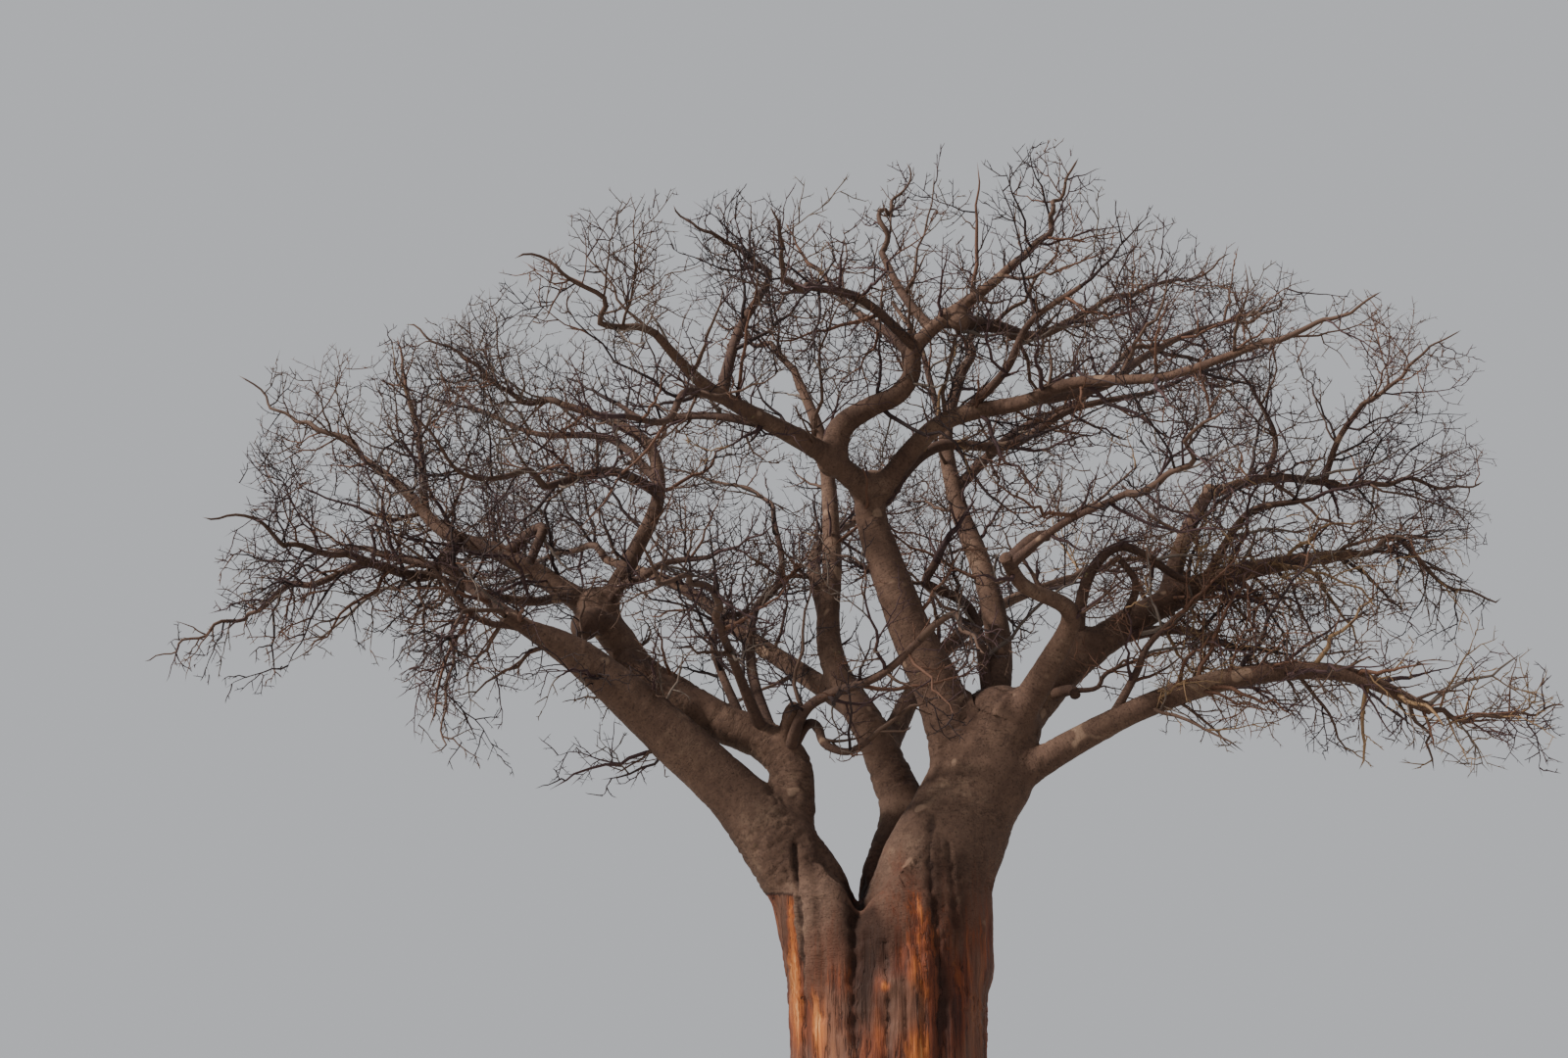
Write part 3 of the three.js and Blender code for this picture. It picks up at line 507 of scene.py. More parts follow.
def sweep(places, radii, sides, pointed):
    """Closed tubes round centre lines (n, rings, 3) with radii (n, rings): vertices, quads and
    triangles. Pointed tubes end in one vertex."""
    count, rings = radii.shape
    ahead = unit(np.gradient(places, axis=1))
    steep = np.abs(ahead[:, :1, 2]) > 0.8
    side = unit(np.cross(ahead[:, 0], np.where(steep, [[1.0, 0, 0]], [UP])))
    angles = 2 * math.pi * np.arange(sides) / sides
    round_rings = rings - 1 if pointed else rings
    loops = []
    for ring in range(round_rings):
        side = unit(side - (side * ahead[:, ring]).sum(-1, keepdims=True) * ahead[:, ring])
        other = np.cross(ahead[:, ring], side)
        out = side[:, None] * np.cos(angles)[:, None] + other[:, None] * np.sin(angles)[:, None]
        loops.append(places[:, ring, None] + out * radii[:, ring, None, None])
    vertices = np.stack(loops, 1).reshape(count, -1, 3)
    if pointed:
        vertices = np.concatenate([vertices, places[:, -1:]], 1)
    walls = ring_walls(round_rings, sides)
    last = (round_rings - 1) * sides
    fan = [[0, i + 1, i] for i in range(1, sides - 1)]
    if pointed:
        fan += [[last + i, last + (i + 1) % sides, last + sides] for i in range(sides)]
    else:
        fan += [[last, last + i, last + i + 1] for i in range(1, sides - 1)]
    size = vertices.shape[1]
    base = (np.arange(count) * size)[:, None, None]
    quads = (walls[None] + base).reshape(-1, 4)
    triangles = (np.array(fan)[None] + base).reshape(-1, 3)
    return vertices.reshape(-1, 3), quads, triangles


def add_object(name, data):
    """An object at the scene's origin."""
    thing = bpy.data.objects.new(name, data)
    bpy.context.scene.collection.objects.link(thing)
    return thing


def read_vectors(items, field):
    """A vector of each item, as an array."""
    values = np.empty(len(items) * 3, np.float32)
    items.foreach_get(field, values)
    return values.reshape(-1, 3)


def mesh_from(name, vertices, quads, triangles, quad_slots=None, triangle_slots=None):
    """A mesh object from arrays, with each face's material number where slots are given."""
    mesh = bpy.data.meshes.new(name)
    mesh.vertices.add(len(vertices))
    mesh.vertices.foreach_set("co", np.asarray(vertices, np.float32).ravel())
    mesh.loops.add(quads.size + triangles.size)
    corners = np.concatenate([quads.ravel(), triangles.ravel()]).astype(np.int32)
    mesh.loops.foreach_set("vertex_index", corners)
    starts = np.concatenate([np.arange(len(quads)) * 4, quads.size + np.arange(len(triangles)) * 3])
    mesh.polygons.add(len(starts))
    mesh.polygons.foreach_set("loop_start", starts.astype(np.int32))
    mesh.polygons.foreach_set("use_smooth", np.ones(len(starts), bool))
    if quad_slots is not None:
        slots = np.concatenate([quad_slots, triangle_slots]).astype(np.int32)
        mesh.polygons.foreach_set("material_index", slots)
    mesh.update(calc_edges=True)
    mesh.validate()
    return add_object(name, mesh)


def baked(piece):
    """The piece's mesh with its modifiers carried out and taken off."""
    graph = bpy.context.evaluated_depsgraph_get()
    mesh = bpy.data.meshes.new_from_object(piece.evaluated_get(graph), depsgraph=graph)
    mesh.name = piece.name
    piece.modifiers.clear()
    old = piece.data
    piece.data = mesh
    bpy.data.meshes.remove(old)
    return piece


# The trunk and the thick limbs as one skin

# Limbs at least this thick at the foot are part of the skin.
THICK_FOOT = 0.15
TUBE_STEP = 0.1
TUBE_SIDES = 24
LEAST_RINGS = 4
TRUNK_RINGS = 44
TRUNK_SIDES = 96
SWELLING_HEIGHT = 0.02
# How far apart the patterns of two limbs' bark lie.
PATTERN_STEP = 10.0
SKIN_VOXEL = 0.042
# How far two parts blend, against the slimmer one's radius, and less where they run side by side.
BLEND_SHARE = 0.75
BLEND_LEAST = 0.03
BLEND_MOST = 0.45
BLEND_FLAT = 0.12
# How often, and how far at a time, the skin is drawn onto the blended parts.
SEATINGS = 6
SEATING_STEP = SKIN_VOXEL * 1.5
# Parts are measured within NEAR of their surface, a batch of places at a time, and are FAR elsewhere.
FAR = 9.0
NEAR = 0.45
BATCH = 6000
# The sharp notch in the saddle between the stems.
NOTCH_X = -0.42
NOTCH_Z = 3.8
NOTCH_WIDTH = 0.15
NOTCH_HEIGHT = 0.3
NOTCH_DEPTH = 0.2


def trunk_swell(z, angle, x, wide):
    """How much the root lobes and the cleft change the trunk's radius."""
    lobes = ROOT_LOBE_DEPTH * np.exp(-z / ROOT_LOBE_HEIGHT) * np.cos(ROOT_LOBES * angle)
    cleft = CLEFT_DEPTH * np.clip((z - CLEFT_FOOT) / (TRUNK_TOP - CLEFT_FOOT), 0, 1)
    return 1 + lobes - cleft * np.exp(-((x - CLEFT_X) / (CLEFT_WIDTH * wide))**2)


def trunk_section(z):
    return (np.interp(z, TRUNK_Z, column) for column in (TRUNK_X, TRUNK_WIDE, TRUNK_DEEP))


def trunk_tube():
    """The trunk's closed column, with the saddle in its top."""
    turns = np.arange(TRUNK_SIDES) * 2 * math.pi / TRUNK_SIDES
    share, angle = np.meshgrid(np.linspace(0, 1, TRUNK_RINGS), turns, indexing="ij")
    z = share * TRUNK_TOP
    middle, wide, deep = trunk_section(z)
    swell = trunk_swell(z, angle, np.cos(angle) * wide, wide)
    x = middle + np.cos(angle) * wide * swell
    y = np.sin(angle) * deep * swell
    saddle = SADDLE_DEPTH * share**SADDLE_SHARPNESS * np.exp(-((x - CLEFT_X) / SADDLE_WIDTH)**2)
    rings = np.stack([x, y, z - saddle], -1).reshape(-1, 3)
    k = np.arange(TRUNK_SIDES)
    after = (k + 1) % TRUNK_SIDES
    foot = len(rings)
    top = foot + 1
    last = (TRUNK_RINGS - 1) * TRUNK_SIDES
    middles = [[0, 0, 0], [CLEFT_X, 0, rings[last:, 2].min()]]
    triangles = np.concatenate([np.stack([after, k, np.full_like(k, foot)], 1),
                                np.stack([last + k, last + after, np.full_like(k, top)], 1)])
    return np.vstack([rings, middles]), ring_walls(TRUNK_RINGS, TRUNK_SIDES), triangles


class Trunk:
    """How far places lie from the trunk's surface."""

    def near(self, places):
        return places[:, 2] < TRUNK_TOP + NEAR

    def measure(self, places):
        z = np.clip(places[:, 2], 0, TRUNK_TOP)
        middle, wide, deep = trunk_section(z)
        u = (places[:, 0] - middle) / wide
        v = places[:, 1] / deep
        angle = np.arctan2(v, u)
        swell = trunk_swell(z, angle, np.cos(angle) * wide, wide)
        reach = np.hypot(wide * np.cos(angle), deep * np.sin(angle))
        side = (np.hypot(u, v) - swell) * reach
        slope = unit(np.stack([u / wide, v / deep, np.full_like(u, 1e-6)], -1))
        roof = TRUNK_TOP - SADDLE_DEPTH * np.exp(-((places[:, 0] - CLEFT_X) / SADDLE_WIDTH)**2)
        above = places[:, 2] - roof
        on_top = above > side
        slope[on_top] = UP
        radial = np.stack([places[:, 0] - middle, places[:, 1], np.zeros_like(u)], -1)
        return np.where(on_top, above, side), slope, radial, z, reach * swell


class Tube:
    """How far places lie from a limb's surface. An offset keeps its bark unlike its neighbours'."""

    def __init__(self, places, radii, offset):
        self.places = places
        self.radii = radii
        steps = np.linalg.norm(np.diff(places, axis=0), axis=1)
        self.along = offset + np.concatenate([[0], np.cumsum(steps)])

    def near(self, places):
        margin = self.radii.max() + NEAR
        low = self.places.min(0) - margin
        high = self.places.max(0) + margin
        return ((places > low) & (places < high)).all(1)

    def measure(self, places):
        results = [self.measure_batch(places[i:i + BATCH]) for i in range(0, len(places), BATCH)]
        return [np.concatenate(column) for column in zip(*results)]

    def measure_batch(self, places):
        start = self.places[:-1]
        run = self.places[1:] - start
        offset = places[:, None] - start
        share = np.clip((offset * run).sum(-1) / (run * run).sum(-1), 0, 1)
        out = offset - share[..., None] * run
        radius = self.radii[:-1] + share * np.diff(self.radii)
        away = np.linalg.norm(out, axis=-1)
        best = (away - radius).argmin(1)
        rows = np.arange(len(places))
        out, share, radius, away = (a[rows, best] for a in (out, share, radius, away))
        along = self.along[best] + share * np.diff(self.along)[best]
        return away - radius, out / np.maximum(away, 1e-6)[:, None], out, along, radius


def blended(parts, places):
    """The soft union of all parts at some places: its distance and slope there, and for the
    nearest part the way out from its centre line, how far along it, its radius, and how near the
    next part is."""
    count = len(places)
    away = np.full((len(parts), count), FAR)
    slope = np.zeros((len(parts), count, 3))
    radial = np.zeros((len(parts), count, 3))
    along = np.zeros((len(parts), count))
    girth = np.ones((len(parts), count))
    for i, part in enumerate(parts):
        near = np.flatnonzero(part.near(places))
        if len(near):
            found = part.measure(places[near])
            for table, column in zip((away, slope, radial, along, girth), found):
                table[i, near] = column
    order = np.argsort(away, axis=0)
    rows = np.arange(count)
    first = order[0]
    distance = away[first, rows]
    lean = slope[first, rows]
    for rank in (1, 2):
        other = order[rank]
        slimmer = np.minimum(girth[first, rows], girth[other, rows])
        reach = np.clip(BLEND_SHARE * slimmer, BLEND_LEAST, BLEND_MOST)
        crossing = 1 - (lean * slope[other, rows]).sum(-1)
        reach = reach * np.clip(crossing, BLEND_FLAT, 1)
        overlap = np.maximum(reach - np.abs(away[other, rows] - distance), 0) / reach
        distance = np.minimum(distance, away[other, rows]) - overlap**2 * reach / 4
        lean = lean * (1 - overlap[:, None] / 2) + slope[other, rows] * overlap[:, None] / 2
    gap = away[order[1], rows] - away[first, rows]
    return distance, lean, radial[first, rows], along[first, rows], girth[first, rows], gap


def thick_tubes(limbs):
    """The thick limbs and the swellings as tubes."""
    tubes = []
    for number, limb in enumerate(limbs.values()):
        if limb.foot < THICK_FOOT:
            continue
        share = np.linspace(0, 1, max(LEAST_RINGS, round(limb.line.length / TUBE_STEP)))
        tubes.append(Tube(limb.line.at(share), limb.looks_radius(share), PATTERN_STEP * number))
    for name, share, aside, radius in SWELLINGS:
        middle = limbs[name].line.at(share) + aside
        places = np.array([middle, middle + UP * SWELLING_HEIGHT])
        tubes.append(Tube(places, np.array([radius, radius]), 0.0))
    return tubes


def joined(parts):
    """Several (vertices, quads, triangles) as one."""
    shift = np.cumsum([0] + [len(part[0]) for part in parts])
    vertices = np.vstack([part[0] for part in parts])
    quads = np.vstack([part[1] + shift[i] for i, part in enumerate(parts)])
    triangles = np.vstack([part[2] + shift[i] for i, part in enumerate(parts)])
    return vertices, quads, triangles


def ball(middle, radius, rings=10, sides=16):
    """A closed ball, as a swept tube whose rings follow a circle."""
    turn = np.linspace(0.06, math.pi - 0.06, rings)
    places = middle + np.outer(-np.cos(turn) * radius, UP)
    return sweep(places[None], (np.sin(turn) * radius)[None], sides, False)


def set_attribute(mesh, name, kind, values):
    attribute = mesh.attributes.new(name, kind, "POINT")
    field = "vector" if kind == "FLOAT_VECTOR" else "value"
    attribute.data.foreach_set(field, np.asarray(values, np.float32).ravel())


# What the relief and the bark read at each vertex, as it is on bark far from forks and torn edges.
MARKS = {
    "along": 0.0, "girth": 0.0, "gap": 1.0, "torn": -9.0, "ragged": 0.0, "groove": 0.0, "swollen": 0.0,
    "stain": 0.0,
}


def set_marks(mesh, radial, **marks):
    """Gives each point what the relief and the bark read, and the usual value where none is given."""
    set_attribute(mesh, "radial", "FLOAT_VECTOR", radial)
    for name, usual in MARKS.items():
        values = marks.get(name, np.full(len(mesh.vertices), usual))
        set_attribute(mesh, name, "FLOAT", values)


def wood_skin(limbs):
    """The trunk and thick limbs, joined by voxels and drawn onto the soft union of them all."""
    tubes = thick_tubes(limbs)
    shapes = [trunk_tube()]
    for tube in tubes:
        if len(tube.places) > 2:
            shapes.append(sweep(tube.places[None], tube.radii[None], TUBE_SIDES, False))
        else:
            shapes.append(ball(tube.places[0], tube.radii[0]))
    piece = mesh_from("trunk_and_limbs", *joined(shapes))
    remesh = piece.modifiers.new("skin", "REMESH")
    remesh.mode = "VOXEL"
    remesh.voxel_size = SKIN_VOXEL
    baked(piece)
    mesh = piece.data
    places = read_vectors(mesh.vertices, "co").astype(float)
    parts = [Trunk(), *tubes]
    for _ in range(SEATINGS):
        distance, lean, radial, along, girth, gap = blended(parts, places)
        step = np.clip(distance, -SEATING_STEP, SEATING_STEP)[:, None] * lean
        step[places[:, 2] < SKIN_VOXEL] *= [1, 1, 0]
        places -= step
    across = (places[:, 0] - NOTCH_X) / NOTCH_WIDTH
    up = (places[:, 2] - NOTCH_Z) / NOTCH_HEIGHT
    places[:, 2] -= NOTCH_DEPTH * np.exp(-across**2 - up**2)
    places[:, 2] = np.maximum(places[:, 2], 0)
    mesh.vertices.foreach_set("co", places.astype(np.float32).ravel())
    marks = {**torn_edge(places), **front_marks(places, lean)}
    set_marks(mesh, radial, along=along, girth=girth, gap=gap, **marks)
    mesh.update()
    return piece


# The bark's marks. Turns go round the trunk in degrees from the front, left below 0.

# How high the torn edge of the bark lies, and how ragged it is.
TORN_EDGE = [
    (-180, 3.4), (-140, 3.6), (-112, 3.6), (-92, 3.86), (-63, 3.82), (-59, 2.45), (-46, 2.35),
    (-38, 2.7), (-20, 3.0), (-4, 3.1), (12, 3.2), (17, 3.6), (24, 3.6), (32, 3.2), (56, 3.1),
    (75, 3.35), (96, 3.5), (130, 3.25), (180, 3.4),
]
RAGGED = [
    (-180, 1.0), (-105, 0.7), (-92, 0.03), (-62, 0.03), (-57, 0.6), (-48, 0.9), (0, 1.0), (180, 1.0),
]
# Grooves down the trunk and stems, seen on the upright grid: places, half width and depth. Their depth
# also darkens the bark: painted shade.
GROOVES = [
    ([[-1.3, 4.6], [-1.28, 4.2], [-1.27, 3.8], [-1.22, 3.4], [-1.2, 2.7], [-1.24, 2.0],
      [-1.25, 0.9]], 0.035, 0.08),
    ([[-1.02, 4.3], [-0.96, 3.6], [-0.9, 2.9], [-0.94, 2.2]], 0.05, 0.03),
    ([[-0.4, 4.1], [-0.42, 3.7], [-0.46, 3.0], [-0.5, 2.2], [-0.45, 1.2], [-0.5, 0.3]], 0.06, 0.07),
    ([[-0.02, 3.2], [0.0, 2.4], [-0.05, 1.5], [0.02, 0.6]], 0.04, 0.05),
    ([[0.7, 5.0], [0.64, 4.4], [0.68, 3.9], [0.73, 3.3], [0.78, 2.4], [0.74, 1.4],
      [0.8, 0.5]], 0.05, 0.06),
    ([[0.92, 4.7], [0.96, 4.2], [1.0, 3.4], [1.02, 2.5]], 0.04, 0.045),
    ([[0.2, 3.1], [0.26, 2.5], [0.24, 1.9]], 0.025, 0.03),
    ([[0.48, 3.0], [0.5, 2.2], [0.46, 1.5]], 0.025, 0.03),
    ([[0.1, 4.5], [0.24, 4.36], [0.4, 4.52]], 0.018, 0.02),
    ([[0.24, 4.36], [0.27, 4.0]], 0.018, 0.02),
]
# Swollen places on the trunk's front: place on the grid, half width and height, and how far out.
SWOLLEN = [
    ([-0.02, 2.62], 0.13, 0.12, 0.07),
    ([0.5, 2.85], 0.3, 0.28, 0.06),
    ([-1.08, 3.3], 0.14, 0.9, 0.05),
    ([0.5, 4.9], 0.16, 0.7, 0.05),
    ([0.98, 1.9], 0.16, 0.8, 0.04),
]
# Stained places on the trunk's front, dark above 0 and freshly bared below it: place on the grid,
# half width and height, and how strong. The dark ones are partly real stain and partly painted shade,
# most of all in and below the saddle between the stems.
STAINS_AND_SHADE = [
    ([-0.42, 3.85], 0.22, 0.5, 1.1),
    ([-0.2, 3.3], 0.5, 0.42, 0.8),
    ([-0.35, 2.5], 0.24, 0.7, 0.75),
    ([0.05, 2.35], 0.1, 0.5, 0.4),
    ([0.75, 4.1], 0.1, 0.9, 0.7),
    ([1.08, 3.7], 0.2, 0.9, 0.6),
    ([0.8, 2.3], 0.13, 0.9, 0.7),
    ([-1.4, 3.3], 0.07, 0.7, -1.5),
    ([-1.33, 2.4], 0.09, 0.8, -1.4),
    ([-1.02, 2.0], 0.14, 0.6, -1.1),
    ([-0.02, 2.6], 0.1, 0.1, -1.5),
    ([0.45, 1.75], 0.3, 0.4, -1.0),
    ([0.4, 2.75], 0.2, 0.4, -0.5),
    ([1.25, 2.6], 0.12, 1.2, -0.5),
]
# How soon the front's marks fade where the bark turns away from the front.
FRONT_FADE = 2.5


def on_grid(places):
    """Where places show on the upright grid."""
    spread = 1 + places[:, 1] / GRID_AWAY
    x = EYE.x + (places[:, 0] - EYE.x) / spread
    z = EYE.z + (places[:, 2] - EYE.z) / spread
    return np.column_stack([x, z])


def spread_over(table, seen):
    """The sum of some soft spots on the grid."""
    total = np.zeros(len(seen))
    for (x, z), wide, high, strength in table:
        total += strength * np.exp(-((seen[:, 0] - x) / wide)**2 - ((seen[:, 1] - z) / high)**2)
    return total


def front_marks(places, facing):
    """How far each place on the front sinks into the grooves, how far it is swollen, and its stain and
    painted shade.
    """
    seen = on_grid(places)
    depth = np.zeros(len(places))
    front = np.clip(-facing[:, 1] * FRONT_FADE, 0, 1)
    for path, half, deep in GROOVES:
        path = np.array(path)
        start, run = path[:-1], np.diff(path, axis=0)
        offset = seen[:, None] - start
        share = np.clip((offset * run).sum(-1) / (run * run).sum(-1), 0, 1)
        near = np.linalg.norm(offset - share[..., None] * run, axis=-1).min(1)
        waver = 0.35 * np.sin(seen[:, 1] * 9 + half * 90) + 0.3 * np.sin(seen[:, 1] * 23)
        near = near + half * waver
        depth = np.maximum(depth, deep * np.exp(-(near / half)**2))
    swollen, stain = (spread_over(table, seen) * front for table in (SWOLLEN, STAINS_AND_SHADE))
    return {"groove": depth * front, "swollen": swollen, "stain": stain}


def torn_edge(places):
    """How far below the torn edge of the bark each place lies, and how ragged the edge is there."""
    middle = np.interp(places[:, 2], TRUNK_Z, TRUNK_X)
    turn = np.degrees(np.arctan2(places[:, 0] - middle, -places[:, 1]))
    below = np.interp(turn, *zip(*TORN_EDGE)) - places[:, 2]
    return {"torn": below, "ragged": np.interp(turn, *zip(*RAGGED))}


# Relief

RELIEF = {
    "Lump depth": 0.06,
    "Fold depth": 0.024,
    "Rib depth": 0.1,
    "Bark thickness": 0.035,
    "Ribs fade above": 4.6,
    "Seed": 5.0,
}


def relief_tree():
    """Lumps, folds across the limbs, ribs down the trunk, and the step where bark is stripped."""
    tree = bpy.data.node_groups.new("bark_relief", "GeometryNodeTree")
    tree.interface.new_socket("Geometry", in_out="INPUT", socket_type="NodeSocketGeometry")
    for name, value in RELIEF.items():
        socket = tree.interface.new_socket(name, in_out="INPUT", socket_type="NodeSocketFloat")
        socket.default_value = value
    tree.interface.new_socket("Bark", in_out="INPUT", socket_type="NodeSocketMaterial")
    tree.interface.new_socket("Geometry", in_out="OUTPUT", socket_type="NodeSocketGeometry")
    graph = Graph(tree)
    given = tree.nodes.new("NodeGroupInput")
    value = {socket.name: Socket(graph, socket) for socket in given.outputs if socket.name}

    def measured(name, kind="FLOAT"):
        return graph.add("GeometryNodeInputNamedAttribute", {"data_type": kind}, {"Name": name})

    place = graph.add("GeometryNodeInputPosition")
    normal = graph.add("GeometryNodeInputNormal")
    height = graph.add("ShaderNodeSeparateXYZ", None, {0: place}, output=2)
    girth, along, gap = measured("girth"), measured("along"), measured("gap")
    radial = measured("radial", "FLOAT_VECTOR")
    stoutness = (girth / 0.35).math("MINIMUM", 1.0)
    lumps = (graph.noise(place, 1.7, 3.0, value["Seed"]) - 0.5) * value["Lump depth"] * stoutness
    knots = graph.noise(place, 4.2, 2.0, value["Seed"] + 3.0).step(0.62, 0.78) * 0.5
    knots = knots * value["Fold depth"] * stoutness
    near_fork = gap.step(0.5, 0.15)
    wave = graph.noise(radial, 2.4, 2.0, along * 5.0 + value["Seed"])
    crease = 1 - abs(wave * 2 - 1).step(0.0, 0.16)
    folds = crease * value["Fold depth"] * stoutness * (near_fork * 0.8 + 0.2) * gap.step(0.02, 0.12)
    low = height.step(value["Ribs fade above"] + 1.2, value["Ribs fade above"] - 0.8)
    ribs = graph.noise(place, (2.6, 2.6, 0.3), 3.0, value["Seed"] + 7.0) - 0.5
    ribs = ribs * value["Rib depth"] * low
    fibres = (graph.noise(place, (8.0, 8.0, 0.6), 2.0, value["Seed"]) - 0.5) * 0.06
    ragged = measured("ragged")
    torn = measured("torn") + graph.strips(place, ragged)
    bare = torn.step(-0.02 - ragged * 0.2, ragged * 0.2 + 0.03)
    rise = lumps + knots + ribs - folds + bare * (fibres - value["Bark thickness"])
    rise = rise + measured("swollen") - measured("groove")
    on_ground = height.step(0.0, 0.12)
    scaling = {0: normal, "Scale": rise * on_ground}
    offset = graph.add("ShaderNodeVectorMath", {"operation": "SCALE"}, scaling)
    moving = {"Geometry": value["Geometry"], "Offset": offset}
    moved = graph.add("GeometryNodeSetPosition", None, moving)
    whole = graph.add("GeometryNodeRealizeInstances", None, {"Geometry": moved})
    dressed = graph.add("GeometryNodeSetMaterial", None, {"Geometry": whole, "Material": value["Bark"]})
    leaving = tree.nodes.new("NodeGroupOutput")
    graph.feed(leaving.inputs[0], dressed)
    return tree


def carve(piece, tree, bark):
    """Carries out the relief on a piece."""
    modifier = piece.modifiers.new("relief", "NODES")
    modifier.node_group = tree
    for item in tree.interface.items_tree:
        if item.in_out == "INPUT" and item.name == "Bark":
            modifier[item.identifier] = bark
    baked(piece)
    piece.data.polygons.foreach_set("use_smooth", np.ones(len(piece.data.polygons), bool))


# The skin's pieces, each from one x to the next. Below the cut all of it is in the middle one.
SKIN_CUTS = {
    "left_limbs": (-99.0, -1.6),
    "trunk_and_middle_limbs": (-1.6, 1.8),
    "right_limbs": (1.8, 99.0),
}
CUT_ABOVE = 4.8


def skin_pieces(limbs, tree, bark):
    """The carved skin in three pieces, left, middle and right, that meet without a seam."""
    skin = wood_skin(limbs)
    carve(skin, tree, bark)
    mesh = skin.data
    normals = read_vectors(mesh.vertex_normals, "vector")
    set_attribute(mesh, "smooth_normal", "FLOAT_VECTOR", normals)
    middles = read_vectors(mesh.polygons, "center")
    across = np.where(middles[:, 2] > CUT_ABOVE, middles[:, 0], 0)
    replaced = ["trunk", *(name for name in LIMBS if limbs[name].foot >= THICK_FOOT)]
    for name, (low, high) in SKIN_CUTS.items():
        shape = bmesh.new()
        shape.from_mesh(mesh)
        shape.faces.ensure_lookup_table()
        outside = np.flatnonzero((across < low) | (across >= high))
        bmesh.ops.delete(shape, geom=[shape.faces[i] for i in outside], context="FACES")
        cut = bpy.data.meshes.new(name)
        shape.to_mesh(cut)
        shape.free()
        cut.materials.append(bark)
        kept = read_vectors(cut.attributes["smooth_normal"].data, "vector")
        cut.attributes.remove(cut.attributes["smooth_normal"])
        cut.normals_split_custom_set_from_vertices(kept)
        piece = add_object(name, cut)
        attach(piece, BODY)
        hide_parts(*replaced)
    bpy.data.objects.remove(skin)
    bpy.data.meshes.remove(mesh)


SLIM_STEP = 0.07
SLIM_SIDES = 12


def slim_boughs(limbs, tree, bark):
    """The slim boughs, as tubes with the same relief."""
    shapes, columns = [], []
    for number, limb in enumerate(limbs.values()):
        if limb.foot >= THICK_FOOT:
            continue
        rings = max(LEAST_RINGS, round(limb.line.length / SLIM_STEP))
        share = np.linspace(0, 1, rings)
        places, radii = limb.line.at(share), limb.looks_radius(share)
        shape = sweep(places[None], radii[None], SLIM_SIDES, False)
        shapes.append(shape)
        ring = np.repeat(np.arange(rings), SLIM_SIDES)
        along = share[ring] * limb.line.length + PATTERN_STEP * number
        columns.append((shape[0] - places[ring], along, radii[ring]))
    piece = mesh_from("slim_boughs", *joined(shapes))
    radial, along, girth = (np.concatenate(column) for column in zip(*columns))
    set_marks(piece.data, radial, along=along, girth=girth)
    carve(piece, tree, bark)
    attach(piece, BODY)
    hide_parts(*(name for name in LIMBS if limbs[name].foot < THICK_FOOT))


# Bark

BARK_TONES = [
    (0.0, (0.023, 0.012, 0.01)), (0.38, (0.064, 0.035, 0.025)), (0.58, (0.112, 0.066, 0.047)),
    (0.82, (0.22, 0.148, 0.104)),
]
LIMB_TONES = [
    (0.0, (0.02, 0.012, 0.011)), (0.4, (0.052, 0.029, 0.023)), (0.62, (0.096, 0.056, 0.041)),
    (0.85, (0.2, 0.135, 0.095)),
]
BARE_TONES = [
    (0.0, (0.012, 0.004, 0.003)), (0.24, (0.045, 0.012, 0.007)), (0.42, (0.105, 0.026, 0.011)),
    (0.58, (0.2, 0.052, 0.016)), (0.74, (0.38, 0.12, 0.03)), (0.93, (0.6, 0.34, 0.15)),
]
RUST = (0.11, 0.032, 0.016, 1)
LICHEN = (0.2, 0.175, 0.085, 1)
SCAR = (0.3, 0.2, 0.14, 1)
# Near black of cracks and pits, and painted shade in the grooves.
CRACK_AND_SHADE = (0.02, 0.011, 0.01, 1)
# Near black for the dark marks: partly real stain, partly painted shade.
STAIN_AND_SHADE = (0.018, 0.007, 0.004, 1)
WEATHERED = (0.115, 0.068, 0.048, 1)
BARK_SHINE = 0.25


def new_material(name):
    """A material and its surface shader."""
    material = bpy.data.materials.new(name)
    material.use_nodes = True
    return material, material.node_tree.nodes["Principled BSDF"]


def plain_material(name, colour, roughness, shine):
    """A finish that is the same all over."""
    material, surface = new_material(name)
    surface.inputs["Base Color"].default_value = (*colour, 1)
    surface.inputs["Roughness"].default_value = roughness
    surface.inputs["Specular IOR Level"].default_value = shine
    return material


